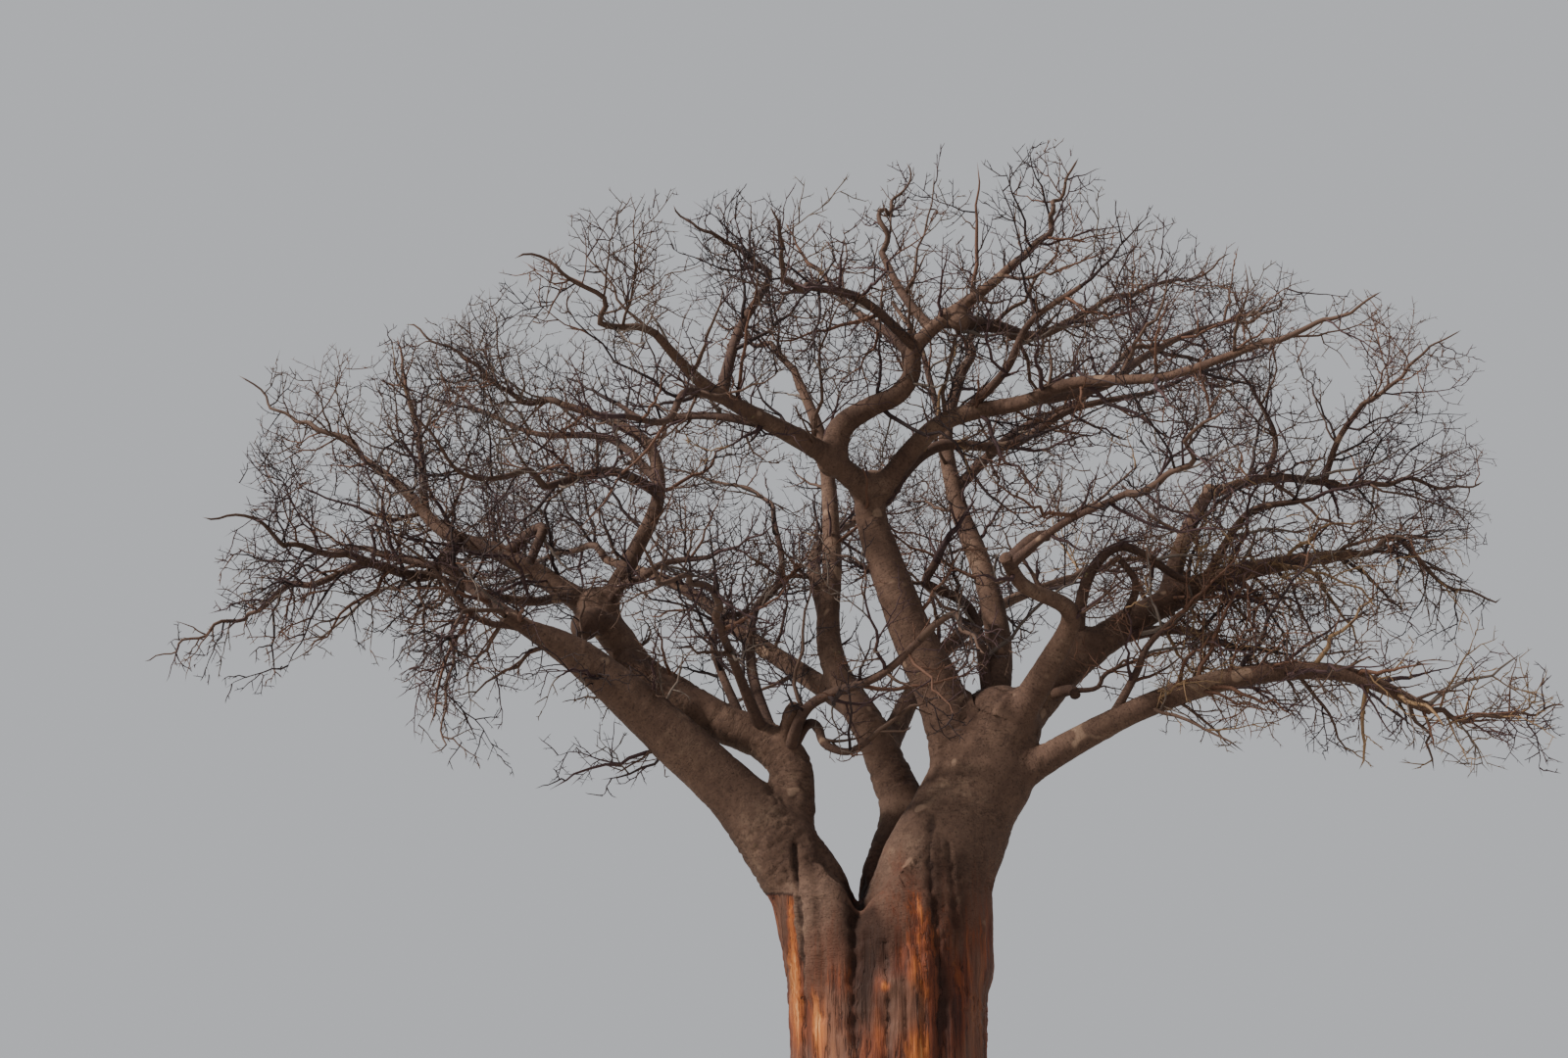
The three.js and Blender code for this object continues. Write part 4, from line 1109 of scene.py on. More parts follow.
def with_bare_fibre(graph, measured, place, colour, height, rough):
    """The bark's colour, height and roughness with bare fibre below the torn edge."""
    ragged = measured("ragged")
    # The stain mark holds real stains and painted shade above 0, and freshly bared wood below it.
    stain = measured("stain")
    dark, fresh = stain.step(0.05, 0.9), stain.step(-0.05, -1.2)
    fibre = graph.noise(place, (26.0, 26.0, 1.5), 5.0, roughness=0.6)
    fray = (graph.noise(place, (13.0, 13.0, 9.0), 4.0) - 0.5) * 0.05
    shreds = (fibre - 0.5) * 1.7 * ragged
    torn = measured("torn") + fray + graph.strips(place, ragged) + shreds
    bare = torn.step(-0.006 - ragged * 0.3, ragged * 0.3 + 0.006)
    rust = (torn - shreds * 0.3).step(-1.3, 0.2) * ragged * (fibre * 0.8 + 0.25)
    colour = graph.mix(rust.math("MINIMUM", 0.75), colour, RUST)
    strand = graph.noise(place, (7.0, 7.0, 0.5), 3.0)
    band = graph.noise(place, (2.2, 2.2, 0.7), 2.0)
    share = fibre * 0.6 + strand * 0.6 + band * 0.8 - 0.56 + fresh * 0.27 - dark * 0.1
    under = graph.ramp(share, BARE_TONES)
    weather = graph.noise(place, (1.5, 1.5, 0.7), 4.0).step(0.46, 0.62) * (1 - fresh)
    under = graph.mix(weather * (0.25 + fibre * 0.7), under, WEATHERED)
    split = (1 - abs(strand * 2 - 1).step(0.0, 0.055)) * fibre.step(0.62, 0.4)
    under = graph.mix(split * 0.6, under, CRACK_AND_SHADE)
    colour = graph.mix(bare, colour, under)
    edge = torn.step(-0.03, -0.004) * torn.step(0.03, 0.006) * (1 - ragged)
    colour = graph.mix(edge * 0.7, colour, CRACK_AND_SHADE)
    # Painted shade: the bark darkens with the depth of the carved grooves.
    groove = measured("groove").step(0.02, 0.06)
    colour = graph.mix(groove * 0.6, colour, CRACK_AND_SHADE)
    # Painted shade with real stain: the dark marks darken the bark towards near black.
    soak_and_shade = dark * (0.55 + fibre * 0.7)
    colour = graph.mix(soak_and_shade.math("MINIMUM", 0.88), colour, STAIN_AND_SHADE)
    bare_height = fibre * 1.4 + strand * 1.8 - split * 1.3
    height = height * (1 - bare) + bare_height * bare - bare * 1.5
    rough = rough * (1 - bare) + bare * 0.7
    return colour, height, rough


def bark_material(name, stripped):
    """Smooth, pitted, faintly wrinkled bark, stripped to the fibre low down if asked."""
    material, surface = new_material(name)
    graph = Graph(material.node_tree)
    place = graph.add("ShaderNodeTexCoord", output=3)

    def measured(attribute, output=2):
        return graph.add("ShaderNodeAttribute", {"attribute_name": attribute}, output=output)

    radial, along, gap = measured("radial", 1), measured("along"), measured("gap")
    patches = graph.noise(place, 1.1, 4.0)
    mottle = graph.noise(place, 7.0, 5.0, roughness=0.6)
    pits = graph.noise(place, 34.0, 3.0, roughness=0.65)
    wrinkle = graph.noise(radial, 4.0, 3.0, along * 16.0)
    tone = patches * 0.6 + mottle * 0.35 + pits * 0.2 - 0.06
    colour = graph.ramp(tone, BARK_TONES if stripped else LIMB_TONES)
    pit = pits.step(0.42, 0.3)
    colour = graph.mix(pit * 0.55, colour, CRACK_AND_SHADE)
    crease = 1 - abs(wrinkle * 2 - 1).step(0.0, 0.12)
    crease = crease * gap.step(0.03, 0.14) * (gap.step(0.45, 0.14) * 0.4 + 0.6)
    colour = graph.mix(crease * 0.32, colour, CRACK_AND_SHADE)
    lichen = graph.noise(place, 3.1, 6.0, roughness=0.75).step(0.63, 0.7)
    lichen = lichen * graph.noise(place, 0.7, 1.0).step(0.5, 0.6)
    colour = graph.mix(lichen * 0.6, colour, LICHEN)
    scars = graph.noise(place, 2.3, 1.0).step(0.7, 0.74)
    colour = graph.mix(scars * 0.5, colour, SCAR)
    height = pits * 0.3 + mottle * 0.25 - crease * 0.25 - pit * 0.35
    rough = 0.78 + mottle * 0.15
    if stripped:
        colour, height, rough = with_bare_fibre(graph, measured, place, colour, height, rough)
    bumps = {"Strength": 0.8, "Distance": 0.02, "Height": height}
    bump = graph.add("ShaderNodeBump", None, bumps)
    graph.feed(surface.inputs["Specular IOR Level"], BARK_SHINE)
    graph.feed(surface.inputs["Base Color"], colour)
    graph.feed(surface.inputs["Roughness"], rough)
    graph.feed(surface.inputs["Normal"], bump)
    return material


# Twigs. These values are the solids' own rule.

SHOOTS_FOR_GIRTH = 2.8
TWIGS_ON_SHOOT = 3
FIRST_SHARE = 0.75
LAST_SHARE = 0.35
SHOOT_REACH = 1.25
SHOOT_SHORTENS = 0.4
TWIG_REACH = 0.62
TWIG_SHORTENS = 0.35
LENGTH_SPREAD = 0.15
TURN_SPREAD = 0.3
LEAN_OUT = 0.95
STEM_TAPER = 0.78
TWIG_TAPER = 0.75
SIDE_THICKNESS = 0.46
TRIES = 4
TURN_ASIDE = 0.9
SHORTEN_BY = 0.12
TWIG_CLEARANCE = 0.012
SPACE_LENGTH = 0.66
SPACE_GIRTH = 1.2
STEM_STRETCHES = 4
STEM_THICKEST = 0.09
STRETCH_STEP = 0.3
FIRST_SEED = 101
SEED_STEP = 37

# Side growth along a limb: where it starts, how long its boughlets are, how they bend, and how
# far apart they stand.
SIDE_GROWTH = (0.18, 2.2, 0.35, 0.6)
SIDE_GROWTH_ON = {
    "left_great_limb": (0.5, 1.9, -0.3, 0.5),
    "left_arm": (0.4, 1.8, 0.3, 0.8),
    "left_far_bough": (0.1, 2.4, 0.4, 0.38),
    "left_hook_bough": (0.1, 2.1, -0.1, 0.3),
    "left_droop_bough": (0.1, 1.8, -0.6, 0.22),
    "left_link": (0.1, 1.8, -0.2, 0.35),
    "left_second": (0.4, 1.5, 0.1, 0.5),
    "left_low_branch": (0.1, 1.8, -0.6, 0.45),
    "left_spire": (0.1, 1.8, 0.4, 0.4),
    "left_crook": (0.2, 1.3, 0.3, 0.9),
    "left_upright_bough": (0.2, 1.9, 0.35, 0.75),
    "slender_bough": (0.2, 1.7, 0.3, 0.9),
    "inner_bough": (0.2, 1.7, 0.3, 0.9),
    "back_stem": (0.4, 1.8, 0.3, 1.1),
    "centre_limb": (0.4, 1.6, 0.2, 0.9),
    "right_great_bough": (0.5, 2.6, -0.55, 0.22),
    "low_right_limb": (0.4, 2.2, -0.2, 0.2),
    "bridge": (0.4, 1.4, -0.3, 0.8),
    "under_twist": (0.3, 1.2, -0.3, 0.5),
    "arch_run": (0.1, 2.1, 0.2, 0.4),
    "arch_rise": (0.1, 2.1, 0.3, 0.34),
    "back_upright_limb": (0.35, 1.9, 0.25, 0.8),
    "right_fork_bough": (0.5, 1.8, 0.25, 0.7),
}
# Masses whose stems are slimmer in the looks, and by how much.
SLENDER_STEMS = {
    "left_low_twigs": 0.4, "left_droop_twigs": 0.8, "low_right_twigs": 0.6, "right_great_twigs": 0.7,
}
# Masses whose shoots stand closer or further apart on the stem than the others'.
STEM_SHOOTS_ON = {
    "far_left_twigs": 0.16, "left_hook_twigs": 0.14, "left_droop_twigs": 0.12, "left_low_twigs": 0.22,
    "arch_run_twigs": 0.17, "arch_rise_twigs": 0.17, "right_great_twigs": 0.09, "low_right_twigs": 0.08,
    "inner_twigs": 0.4, "slender_twigs": 0.4, "crossing_twigs": 0.35, "back_stem_twigs": 0.34,
    "back_left_twigs": 0.34, "back_far_twigs": 0.34, "back_middle_twigs": 0.38,
}
LIMB_SHOOT_REACH = 0.5
# Limbs that bear no twigs, and side boughs that end in no leader.
BARE = {
    "right_stem", "left_web", "left_stub", "fork_neck", "back_foot", "knob_stub", "pale_stub",
    "bridge_leg",
}
STUBS = (BARE | {"left_crook"}) - {"right_stem"}
SHOOT_RADIUS = 0.03
BOUGHLET_RADIUS = 0.038
LEADER_REACH = 1.3
WOOD_STEP = 0.05
LOWEST_TWIG = 4.9

FINE_TAPER = 0.5
# Each order of twigs: how far they lean out, their radius at least, the rings and sides of their
# tubes, and, on twigs of the order before, how far apart they stand and how long they are.
Order = namedtuple("Order", "lean least rings sides taper apart reach", defaults=(None, None))
BOUGHLETS = Order(1.0, 0.024, 10, 6, TWIG_TAPER)
SHOOTS = Order(0.95, 0.014, 8, 4, TWIG_TAPER, 0.33, 0.58)
TWIGS = Order(1.0, 0.0095, 6, 4, FINE_TAPER, 0.21, 0.55)
SPRIGS = Order(1.1, 0.0072, 3, 3, FINE_TAPER, 0.15, 0.5)
SPURS = Order(1.2, 0.0056, 2, 3, FINE_TAPER, 0.12, 0.45)
STEM_SHOOTS_START = 0.04
STEM_SHOOTS_APART = 0.25
CROOK = 0.07
TIP_STARTS = 0.85
ARC = 1.5
ARC_UP = 0.22
STEM_SWAY = 0.16
SWAY_WAVES = (2, 3, 5, 7, 9)
# How much twigs vary, on twigs of the order before and on limbs or stems.
COUNT_VARIES = (0.8, 1.2)
LENGTH_VARIES = (0.6, 1.35)
LIFT_SPREAD = 0.7
LIFT_VARIES = 0.1
LEAN_VARIES = 0.14
LINE_LENGTH_VARIES = (0.7, 1.3)
LINE_LIFT_VARIES = (0.6, 1.4)
LINE_LEAN_VARIES = 0.12
CLEAR_OF_WOOD = 0.02
TWIG_SEED = 7

# The crown's outline on the upright grid, from its left tip over the top.
CROWN_OUTLINE = [
    [-11.1, 7.1], [-10.4, 8.8], [-10.0, 10.0], [-10.6, 11.2], [-10.2, 12.2], [-8.5, 13.0], [-7.0, 13.1],
    [-5.6, 14.5], [-4.4, 15.6], [-2.2, 15.5], [-0.6, 15.9], [1.2, 16.3], [3.2, 16.6], [4.1, 15.6],
    [5.6, 14.6], [7.0, 14.1], [8.5, 13.7], [9.6, 12.9], [10.1, 12.0], [9.6, 9.6], [9.2, 8.6], [9.9, 7.6],
    [10.4, 6.6], [9.9, 5.3], [7.2, 5.3], [5.8, 5.9], [4.0, 5.9], [2.4, 5.4], [1.3, 5.7], [-0.3, 5.2],
    [-1.3, 5.6], [-2.6, 5.5], [-3.6, 4.9], [-4.6, 5.4], [-5.9, 5.2], [-7.0, 6.1], [-8.6, 7.3], [-9.3, 6.7],
    [-10.3, 6.6],
]


class Dice:
    """Gives the same run of numbers for the same seed."""

    def __init__(self, seed):
        self.state = seed

    def between(self, low, high):
        self.state = (self.state * 1664525 + 1013904223) % 2**32
        return low + (high - low) * self.state / 2**32


def apart(p, q, a, b):
    """How far the stretch from p to q stays from each stretch from a to b."""
    d1, d2, r = q - p, b - a, p - a
    a11, a22, a12 = d1 @ d1, (d2 * d2).sum(-1), d2 @ d1
    r1, r2 = r @ d1, (d2 * r).sum(-1)
    s = np.clip((a12 * r2 - r1 * a22) / np.maximum(a11 * a22 - a12**2, 1e-12), 0, 1)
    t = np.clip((a12 * s + r2) / a22, 0, 1)
    s = np.clip((a12 * t - r1) / a11, 0, 1)
    return np.linalg.norm(p + s[:, None] * d1 - a - t[:, None] * d2, axis=1)


def twig_bend(foot, ahead, turn, length, lift, lean=LEAN_OUT):
    """The foot, knee and tip of twigs that leave a line, turned round it by some angles."""
    side = unit(np.cross(ahead, UP))
    out = side * np.cos(turn)[..., None] + np.cross(ahead, side) * np.sin(turn)[..., None]
    heading = ahead * np.cos(lean)[..., None] + out * np.sin(lean)[..., None]
    half = np.asarray(length)[..., None] / 2
    knee = foot + heading * half
    return foot, knee, knee + unit(heading + UP * np.asarray(lift)[..., None]) * half


def bend_places(bend, shares):
    """Places along quadratic curves, (n, rings, 3)."""
    foot, knee, tip = (np.asarray(place)[..., None, :] for place in bend)
    u = np.asarray(shares)[:, None]
    return foot * (1 - u)**2 + knee * 2 * u * (1 - u) + tip * u**2


def swayed(line, dice):
    """A line with a few slow bends, its ends kept in place."""
    share = np.linspace(0, 1, 160)[:, None]
    sway = sum(dice.normal(0, STEM_SWAY / waves, 3) * np.sin(math.pi * waves * share)
               for waves in SWAY_WAVES)
    return Line(line.at(share[:, 0]) + sway)


def stretch_table(places, radii):
    """The stretches between places that follow one another: start, end and larger radius."""
    return places[:-1], places[1:], np.maximum(radii[:-1], radii[1:])


HALVES = np.array([0, 0.5, 1])


class Shoot:
    """One twig that a mass has kept, with the share of its parent where it leaves."""

    def __init__(self, share, bend, path, length, radius):
        self.share, self.bend, self.path, self.length, self.radius = share, bend, path, length, radius
        self.side_twigs = []


class Mass:
    """A mass of twigs: its stem goes on from its bough's tip and ends at its furthest tip."""

    def __init__(self, name, spec, limbs, seed):
        bough, far, self.girth, self.lift = spec
        self.bough = bough
        self.dice = Dice(seed)
        self.tip = seen_at(far)
        self.foot = limbs[bough].line.at(1.0)
        self.thick = min(limbs[bough].tip, STEM_THICKEST)
        heading = limbs[bough].line.ahead(1.0)
        third = np.linalg.norm(self.tip - self.foot) / 3
        arrive = unit(unit(self.tip - self.foot) + UP * self.lift)
        bends = (self.foot + heading * third, self.tip - arrive * third)
        even = Line(cubic_line(self.foot, *bends, self.tip))
        self.stem = Line(even.at(np.linspace(0, 1, STEM_STRETCHES + 1)))
        self.curve = swayed(even, np.random.default_rng(seed))
        self.slender = SLENDER_STEMS.get(name, 1.0)
        self.shoots = []

    def stem_radius(self, share):
        return self.thick * (1 - STEM_TAPER * share)

    def looks_radius(self, share):
        return self.stem_radius(share) * self.slender

    def holds(self, places):
        """Whether places lie in the egg-shaped space round the stem."""
        axis = self.tip - self.foot
        offset = places - self.foot
        along = offset @ axis / (axis @ axis)
        out = np.linalg.norm(offset - along[..., None] * axis, axis=-1)
        return ((along - 0.5) / SPACE_LENGTH)**2 + (out / self.girth / SPACE_GIRTH)**2 < 1

    def branch(self, line, radius_at, count, length_at, rings, taken):
        """Side shoots along a line, each kept where it stays in the space and touches nothing."""
        kept = []
        turn = self.dice.between(0, 2 * math.pi)
        for k in range(count):
            share = (k + FIRST_SHARE) / (count + LAST_SHARE)
            for attempt in range(TRIES):
                sway = self.dice.between(-TURN_SPREAD, TURN_SPREAD)
                angle = turn + k * GOLDEN_ANGLE + attempt * TURN_ASIDE + sway
                vary = self.dice.between(1 - LENGTH_SPREAD, 1 + LENGTH_SPREAD)
                length = length_at(share) * vary * (1 - SHORTEN_BY * attempt)
                radius = radius_at(share) * SIDE_THICKNESS
                start = (line.at(share), line.ahead(share))
                bend = twig_bend(*start, np.float64(angle), length, self.lift, np.float64(LEAN_OUT))
                curve = Line(bend_places(bend, np.linspace(0, 1, 60)))
                path = Line(curve.at(np.linspace(0, 1, rings + 1)))
                inside = self.holds(path.at(np.array([0.6, 1]))).all()
                if inside and not self.touches(path.at(HALVES), radius, taken):
                    kept.append(Shoot(share, bend, path, length, radius))
                    break
        return kept

    def touches(self, places, radius, taken):
        """Whether a twig comes too near to a limb or to another mass."""
        starts, ends, sizes = taken
        thick = radius * (1 - TWIG_TAPER * HALVES)
        for i in (0, 1):
            clear = thick[i] + sizes + TWIG_CLEARANCE
            if (apart(places[i], places[i + 1], starts, ends) < clear).any():
                return True
        return False

    def grow(self, taken):
        """Grows the shoots and their side twigs."""
        count = round(self.girth * SHOOTS_FOR_GIRTH)
        self.shoots = self.branch(self.stem, self.stem_radius, count,
                                  lambda s: self.girth * SHOOT_REACH * (1 - SHOOT_SHORTENS * s), 2, taken)
        for shoot in self.shoots:
            shoot.side_twigs = self.branch(
                shoot.path, lambda s: shoot.radius * (1 - TWIG_TAPER * s), TWIGS_ON_SHOOT,
                lambda s: shoot.length * TWIG_REACH * (1 - TWIG_SHORTENS * s), 1, taken)

    def stretches(self):
        """Tables of the stretches of the stem and of each twig."""
        shares = np.linspace(0, 1, STEM_STRETCHES + 1)
        tables = [stretch_table(self.stem.places, self.stem_radius(shares))]
        for shoot in self.shoots:
            for twig in (shoot, *shoot.side_twigs):
                radii = twig.radius * (1 - TWIG_TAPER * HALVES)
                tables.append(stretch_table(twig.path.at(HALVES), radii))
        return tables


def limb_stretches(limbs):
    """A table of the stretches of each limb of the solids."""
    tables = []
    for name in LIMBS:
        line = limbs[name].line
        share = np.linspace(0, 1, math.ceil(line.length / STRETCH_STEP) + 1)
        tables.append(stretch_table(line.at(share), limbs[name].radius(share)))
    return tables


def grow_masses(limbs):
    """The masses of twigs, each clear of the limbs and of the other masses."""
    masses = {}
    for number, (name, spec) in enumerate(MASSES.items()):
        masses[name] = Mass(name, spec, limbs, FIRST_SEED + SEED_STEP * number)
    wood = limb_stretches(limbs)
    for mass in masses.values():
        others = [other.stretches() for other in masses.values() if other is not mass]
        mass.grow([np.concatenate(column) for column in zip(*sum(others, []), *wood)])
    return masses


class Twigs:
    """Many twigs at once: centre lines (n, rings, 3), and for each its radius at the foot, its
    length, its lift, its spray, the part of the crown it belongs to and the mass that holds it."""

    FIELDS = ("places", "radius", "length", "lift", "spray", "part", "mass")

    def __init__(self, **columns):
        for field in self.FIELDS:
            setattr(self, field, np.asarray(columns[field]))

    def kept(self, mask):
        return Twigs(**{field: getattr(self, field)[mask] for field in self.FIELDS})

    def at(self, i, share):
        """Places and directions at shares of some of the twigs."""
        rings = self.places.shape[1]
        spot = np.interp(share, ring_shares(rings), np.arange(rings))
        ring = np.minimum(spot.astype(int), rings - 2)
        start, end = self.places[i, ring], self.places[i, ring + 1]
        return start + (end - start) * (spot - ring)[:, None], unit(end - start)


def together(groups):
    """Groups of twigs as one."""
    columns = {}
    for field in Twigs.FIELDS:
        columns[field] = np.concatenate([getattr(group, field) for group in groups])
    return Twigs(**columns)


def ring_shares(rings):
    """Where a twig's rings lie along it: evenly up to where its tip starts, and at its end."""
    return np.append(np.linspace(0, TIP_STARTS, rings - 1), 1.0)


def crooked(bend, rings, length, dice):
    """Twigs' centre lines with small kinks, each twig still starting at its foot."""
    places = bend_places(bend, ring_shares(rings))
    kinks = dice.normal(0, 1, places.shape) * (CROOK * length / math.sqrt(rings))[:, None, None]
    kinks[:, 0] = 0
    return places + np.cumsum(kinks, axis=1)


def next_order(parents, order, dice):
    """The twigs one order finer, along their parents by the golden angle."""
    wanted = parents.length / order.apart * dice.uniform(*COUNT_VARIES, len(parents.length))
    count = np.maximum(1, wanted.astype(int))
    i = np.repeat(np.arange(len(count)), count)
    k = np.arange(len(i)) - np.repeat(np.cumsum(count) - count, count)
    share = (k + FIRST_SHARE) / (count[i] + LAST_SHARE)
    foot, ahead = parents.at(i, share)
    turn = dice.uniform(0, 2 * math.pi, len(count))[i] + k * GOLDEN_ANGLE
    turn += dice.uniform(-TURN_SPREAD, TURN_SPREAD, len(i))
    length = parents.length[i] * order.reach * (1 - TWIG_SHORTENS * share)
    length *= dice.uniform(*LENGTH_VARIES, len(i))
    lift = parents.lift[i] * dice.uniform(1 - LIFT_SPREAD, 1 + LIFT_SPREAD, len(i))
    lift += dice.normal(0.0, LIFT_VARIES, len(i))
    lean = dice.normal(order.lean, LEAN_VARIES, len(i))
    bend = twig_bend(foot, ahead, turn, length, lift * ARC + ARC_UP, lean)
    radius = np.maximum(parents.radius[i] * (1 - FINE_TAPER * share) * SIDE_THICKNESS, order.least)
    return Twigs(places=crooked(bend, order.rings, length, dice), radius=radius, length=length,
                 lift=lift, spray=parents.spray[i], part=parents.part[i], mass=parents.mass[i])


class Space:
    """What a twig's tip has to keep to: the masses' spaces, the crown's outline and clear air."""

    def __init__(self, masses, limbs):
        self.masses = list(masses.values())
        self.outline = np.array(CROWN_OUTLINE)
        rows = []
        for limb in limbs.values():
            share = np.linspace(0, 1, math.ceil(limb.line.length / WOOD_STEP))
            rows.append(np.column_stack([limb.line.at(share), limb.radius(share)]))
        self.wood = np.vstack(rows)
        self.tree = kdtree.KDTree(len(self.wood))
        for i, place in enumerate(self.wood[:, :3]):
            self.tree.insert(place, i)
        self.tree.balance()

    def in_outline(self, places):
        """Whether places show inside the crown's outline, as the onlooker sees it."""
        x, z = on_grid(places).T
        inside = np.zeros(len(places), bool)
        for (x1, z1), (x2, z2) in zip(self.outline, np.roll(self.outline, -1, 0)):
            crosses = (z1 > z) != (z2 > z)
            inside ^= crosses & (x < x1 + (z - z1) * (x2 - x1) / (z2 - z1 + 1e-9))
        return inside

    def in_air(self, places):
        """Whether places are clear of the limbs."""
        found = [self.tree.find(place) for place in places]
        away = np.array([item[2] for item in found])
        return away > self.wood[[item[1] for item in found], 3] + CLEAR_OF_WOOD

    def allows(self, twigs):
        """Whether each twig's tip is in a place that the crown and the solids leave to it."""
        tips = twigs.places[:, -1]
        low, high = (np.array(corner) for corner in solid_box)
        good = ((tips > low) & (tips < high)).all(1) & (tips[:, 2] > LOWEST_TWIG)
        good &= self.in_outline(tips)
        for number, mass in enumerate(self.masses):
            own = twigs.mass == number
            good[own] &= mass.holds(tips[own])
        good[good] = self.in_air(tips[good])
        return good


def line_shoots(line, radius_at, growth, order, thickest, part, mass, dice):
    """Boughlets or shoots along a limb or a stem."""
    start, length, lift, apart_by = growth
    count = max(1, round(line.length * (1 - start) / apart_by))
    k = np.arange(count)
    share = start + (1 - start) * (k + FIRST_SHARE) / (count + LAST_SHARE)
    turn = dice.uniform(0, 2 * math.pi) + k * GOLDEN_ANGLE
    turn += dice.uniform(-TURN_SPREAD, TURN_SPREAD, count)
    reach = length * (1 - SHOOT_SHORTENS * share) * dice.uniform(*LINE_LENGTH_VARIES, count)
    reach += radius_at(share)
    lifts = lift * dice.uniform(*LINE_LIFT_VARIES, count)
    lean = dice.normal(order.lean, LINE_LEAN_VARIES, count)
    bend = twig_bend(line.at(share), line.ahead(share), turn, reach, lifts * ARC, lean)
    radius = np.clip(radius_at(share) * SIDE_THICKNESS, order.least, thickest)
    return Twigs(places=crooked(bend, order.rings, reach, dice), radius=radius, length=reach,
                 lift=lifts, spray=np.zeros(count, int), part=np.full(count, part),
                 mass=np.full(count, mass))


def part_of(limb):
    """The number of the part of the crown that holds a limb's twigs."""
    return next(i for i, names in enumerate(CROWN_PARTS.values()) if limb in names)


def one_twig(bend, foot, length, radius, lift, part, mass, dice):
    """A group of one twig, moved to a given foot."""
    places = crooked([place[None] for place in bend], SHOOTS.rings, np.array([length]), dice)
    return Twigs(places=places + (foot - bend[0]), radius=[radius], length=[length], lift=[lift],
                 spray=[0], part=[part], mass=[mass])


def source_twigs(masses, space, dice):
    """The solids' own shoots and side twigs, drawn smooth from their parents' lines. A shoot that
    the space doesn't allow is left out with its side twigs."""
    groups = []
    for number, mass in enumerate(masses.values()):
        rest = (mass.lift, part_of(mass.bough), number, dice)
        for shoot in mass.shoots:
            foot = mass.curve.at(shoot.share)
            group = one_twig(shoot.bend, foot, shoot.length, shoot.radius, *rest)
            if not space.allows(group).all():
                continue
            groups.append(group)
            for twig in shoot.side_twigs:
                foot = group.at(np.array([0]), np.array([twig.share]))[0][0]
                groups.append(one_twig(twig.bend, foot, twig.length, twig.radius, *rest))
    return together(groups)


def leader(line, radius, lift, part, dice):
    """A shoot that goes straight on from the tip of a side bough."""
    straight = np.float64(0)
    bend = twig_bend(line.at(1.0), line.ahead(1.0), straight, LEADER_REACH, lift, straight)
    return one_twig(bend, bend[0], LEADER_REACH, radius, lift, part, -1, dice)


def grow_twigs(limbs, masses):
    """All twigs from the boughlets out, coarse to fine, as a list of orders."""
    dice = np.random.default_rng(TWIG_SEED)
    space = Space(masses, limbs)
    firsts = []
    shoots = [source_twigs(masses, space, dice)]
    for number, (name, mass) in enumerate(masses.items()):
        apart_by = STEM_SHOOTS_ON.get(name, STEM_SHOOTS_APART)
        growth = (STEM_SHOOTS_START, mass.girth, mass.lift, apart_by)
        shoots.append(line_shoots(mass.curve, mass.looks_radius, growth, SHOOTS, SHOOT_RADIUS,
                                  part_of(mass.bough), number, dice))
    for name, limb in limbs.items():
        if name in BARE:
            continue
        growth = SIDE_GROWTH_ON.get(name, SIDE_GROWTH)
        start, length, lift, apart_by = growth
        short = (start, length * LIMB_SHOOT_REACH, lift, apart_by)
        part = part_of(name)
        firsts.append(line_shoots(
            limb.line, limb.radius, growth, BOUGHLETS, BOUGHLET_RADIUS, part, -1, dice))
        shoots.append(line_shoots(
            limb.line, limb.radius, short, SHOOTS, SHOOT_RADIUS, part, -1, dice))
        if name in SIDE_BOUGHS and name not in STUBS:
            shoots.append(leader(limb.line, limb.tip, lift, part, dice))
    boughlets = together(firsts)
    boughlets = boughlets.kept(space.allows(boughlets))
    boughlets.spray = np.arange(len(boughlets.spray))
    shoots = together([*shoots, next_order(boughlets, SHOOTS, dice)])
    shoots = shoots.kept(space.allows(shoots))
    shoots.spray = len(boughlets.spray) + np.arange(len(shoots.spray))
    orders = [boughlets, shoots]
    for order in (TWIGS, SPRIGS, SPURS):
        finer = next_order(orders[-1], order, dice)
        orders.append(finer.kept(space.allows(finer)))
    return orders


# The colours of twig bark, and how many sprays of each. The pale tan is painted sunlight, given mostly to
# the sunlit part.
TWIG_COLOURS = {
    "twig_bark_dark": (0.032, 0.02, 0.02),
    "twig_bark_plum": (0.055, 0.03, 0.031),
    "twig_bark_brown": (0.08, 0.047, 0.034),
    "twig_bark_russet": (0.105, 0.052, 0.034),
    "twig_bark_grey": (0.12, 0.093, 0.078),
    "twig_bark_tan": (0.2, 0.125, 0.068),
}
COLOUR_SHARES = [0.26, 0.28, 0.23, 0.14, 0.08, 0.01]
# The sunlit part takes fewer dark and plum sprays and more russet and tan ones: painted sunlight.
SUNLIT_SHARES = [0.1, 0.16, 0.24, 0.22, 0.08, 0.2]
SUNLIT_PART = "right_lower_twigs"
STEM_COLOUR = list(TWIG_COLOURS).index("twig_bark_brown")
STEM_RINGS = 22
STEM_SIDES = 7
TWIG_ROUGHNESS = 0.75
COLOUR_SEED = 24


def coloured_tubes(places, radii, sides, colour):
    """Pointed tubes round centre lines, with the colour of each quad and triangle."""
    rings = places.shape[1]
    shape = sweep(places, radii, sides, True)
    return shape, np.repeat(colour, (rings - 2) * sides), np.repeat(colour, 2 * sides - 2)


def twig_tubes(twigs, order, colours):
    """Twigs of one order, coloured by spray."""
    radii = twigs.radius[:, None] * (1 - order.taper * ring_shares(order.rings))
    return coloured_tubes(twigs.places, radii, order.sides, colours[twigs.spray])


def stem_tubes(stems):
    """The stems of some masses."""
    share = np.linspace(0, 1, STEM_RINGS)
    places = np.stack([mass.curve.at(share) for mass in stems])
    radii = np.stack([mass.looks_radius(share) for mass in stems])
    return coloured_tubes(places, radii, STEM_SIDES, np.full(len(stems), STEM_COLOUR))


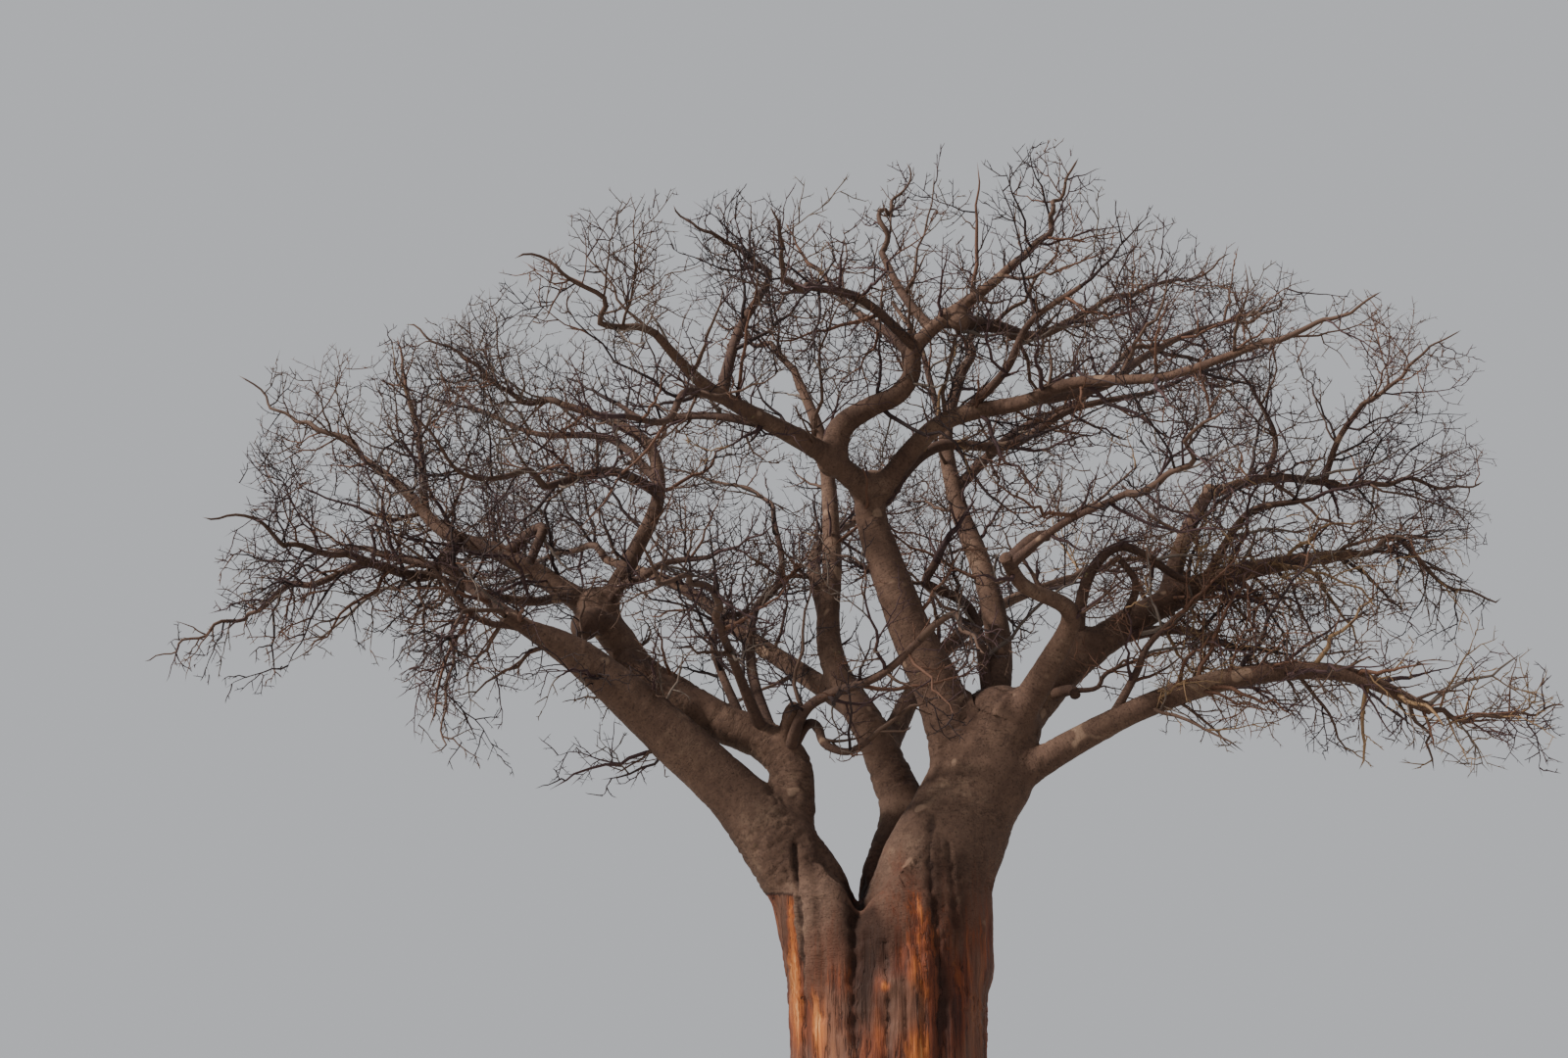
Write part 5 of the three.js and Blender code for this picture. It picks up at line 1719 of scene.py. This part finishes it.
def twig_pieces(limbs, masses):
    """One joined mesh for each part of the crown."""
    dice = np.random.default_rng(COLOUR_SEED)
    orders = grow_twigs(limbs, masses)
    parts = np.concatenate([orders[0].part, orders[1].part])
    colours = dice.choice(len(COLOUR_SHARES), len(parts), p=COLOUR_SHARES)
    # Painted sunlight: the right lower twigs take paler sprays.
    sunlit = np.flatnonzero(parts == list(CROWN_PARTS).index(SUNLIT_PART))
    colours[sunlit] = dice.choice(len(COLOUR_SHARES), len(sunlit), p=SUNLIT_SHARES)
    materials = [plain_material(name, colour, TWIG_ROUGHNESS, BARK_SHINE)
                 for name, colour in TWIG_COLOURS.items()]
    for part, name in enumerate(CROWN_PARTS):
        replaced = [mass for mass, spec in MASSES.items() if spec[0] in CROWN_PARTS[name]]
        shapes = []
        if replaced:
            shapes.append(stem_tubes([masses[mass] for mass in replaced]))
        for twigs, order in zip(orders, (BOUGHLETS, SHOOTS, TWIGS, SPRIGS, SPURS)):
            own = twigs.kept(twigs.part == part)
            if len(own.radius):
                shapes.append(twig_tubes(own, order, colours))
        vertices, quads, triangles = joined([shape for shape, _, _ in shapes])
        quad_slots = np.concatenate([row for _, row, _ in shapes])
        triangle_slots = np.concatenate([row for _, _, row in shapes])
        piece = mesh_from(name, vertices, quads, triangles, quad_slots, triangle_slots)
        for material in materials:
            piece.data.materials.append(material)
        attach(piece, BODY)
        if replaced:
            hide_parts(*replaced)


# Floor, light and camera

FLOOR_RADIUS = 400.0
FLOOR_SIDES = 96
FLOOR_COLOUR = (0.45, 0.44, 0.42)
FLOOR_ROUGHNESS = 0.9
FLOOR_SHINE = 0.5
SKY_COLOUR = (0.86, 0.88, 0.92, 1)
SKY_STRENGTH = 0.6
KEY_STRENGTH = 6.5
KEY_ANGLE = math.radians(7)
KEY_COLOUR = (1.0, 0.93, 0.84)
KEY_TILT = math.radians(55)
KEY_TURN = math.radians(-68)


def add_floor():
    mesh = bpy.data.meshes.new("floor")
    turns = 2 * math.pi * np.arange(FLOOR_SIDES) / FLOOR_SIDES
    rim = [(FLOOR_RADIUS * math.cos(turn), FLOOR_RADIUS * math.sin(turn), 0) for turn in turns]
    mesh.from_pydata(rim, [], [range(FLOOR_SIDES)])
    mesh.materials.append(plain_material("floor", FLOOR_COLOUR, FLOOR_ROUGHNESS, FLOOR_SHINE))
    floor = add_object("floor", mesh)


def add_light():
    world = bpy.data.worlds.new("studio")
    world.use_nodes = True
    background = world.node_tree.nodes["Background"]
    background.inputs["Color"].default_value = SKY_COLOUR
    background.inputs["Strength"].default_value = SKY_STRENGTH
    bpy.context.scene.world = world
    key = bpy.data.lights.new("key", "SUN")
    key.energy = KEY_STRENGTH
    key.angle = KEY_ANGLE
    key.color = KEY_COLOUR
    add_object("key", key).rotation_euler = (KEY_TILT, 0, KEY_TURN)


def add_camera():
    data = bpy.data.cameras.new("camera")
    data.lens = LENS
    data.sensor_width = SENSOR
    camera = add_object("camera", data)
    camera.location = EYE
    camera.rotation_euler = (math.pi / 2 + PITCH, 0, 0)
    bpy.context.scene.camera = camera


limbs = grow_limbs()
masses = grow_masses(limbs)
twig_pieces(limbs, masses)
bark = bark_material("bark", stripped=True)
bough_bark = bark_material("bough_bark", stripped=False)
relief = relief_tree()
skin_pieces(limbs, relief, bark)
slim_boughs(limbs, relief, bough_bark)
add_floor()
add_light()
add_camera()
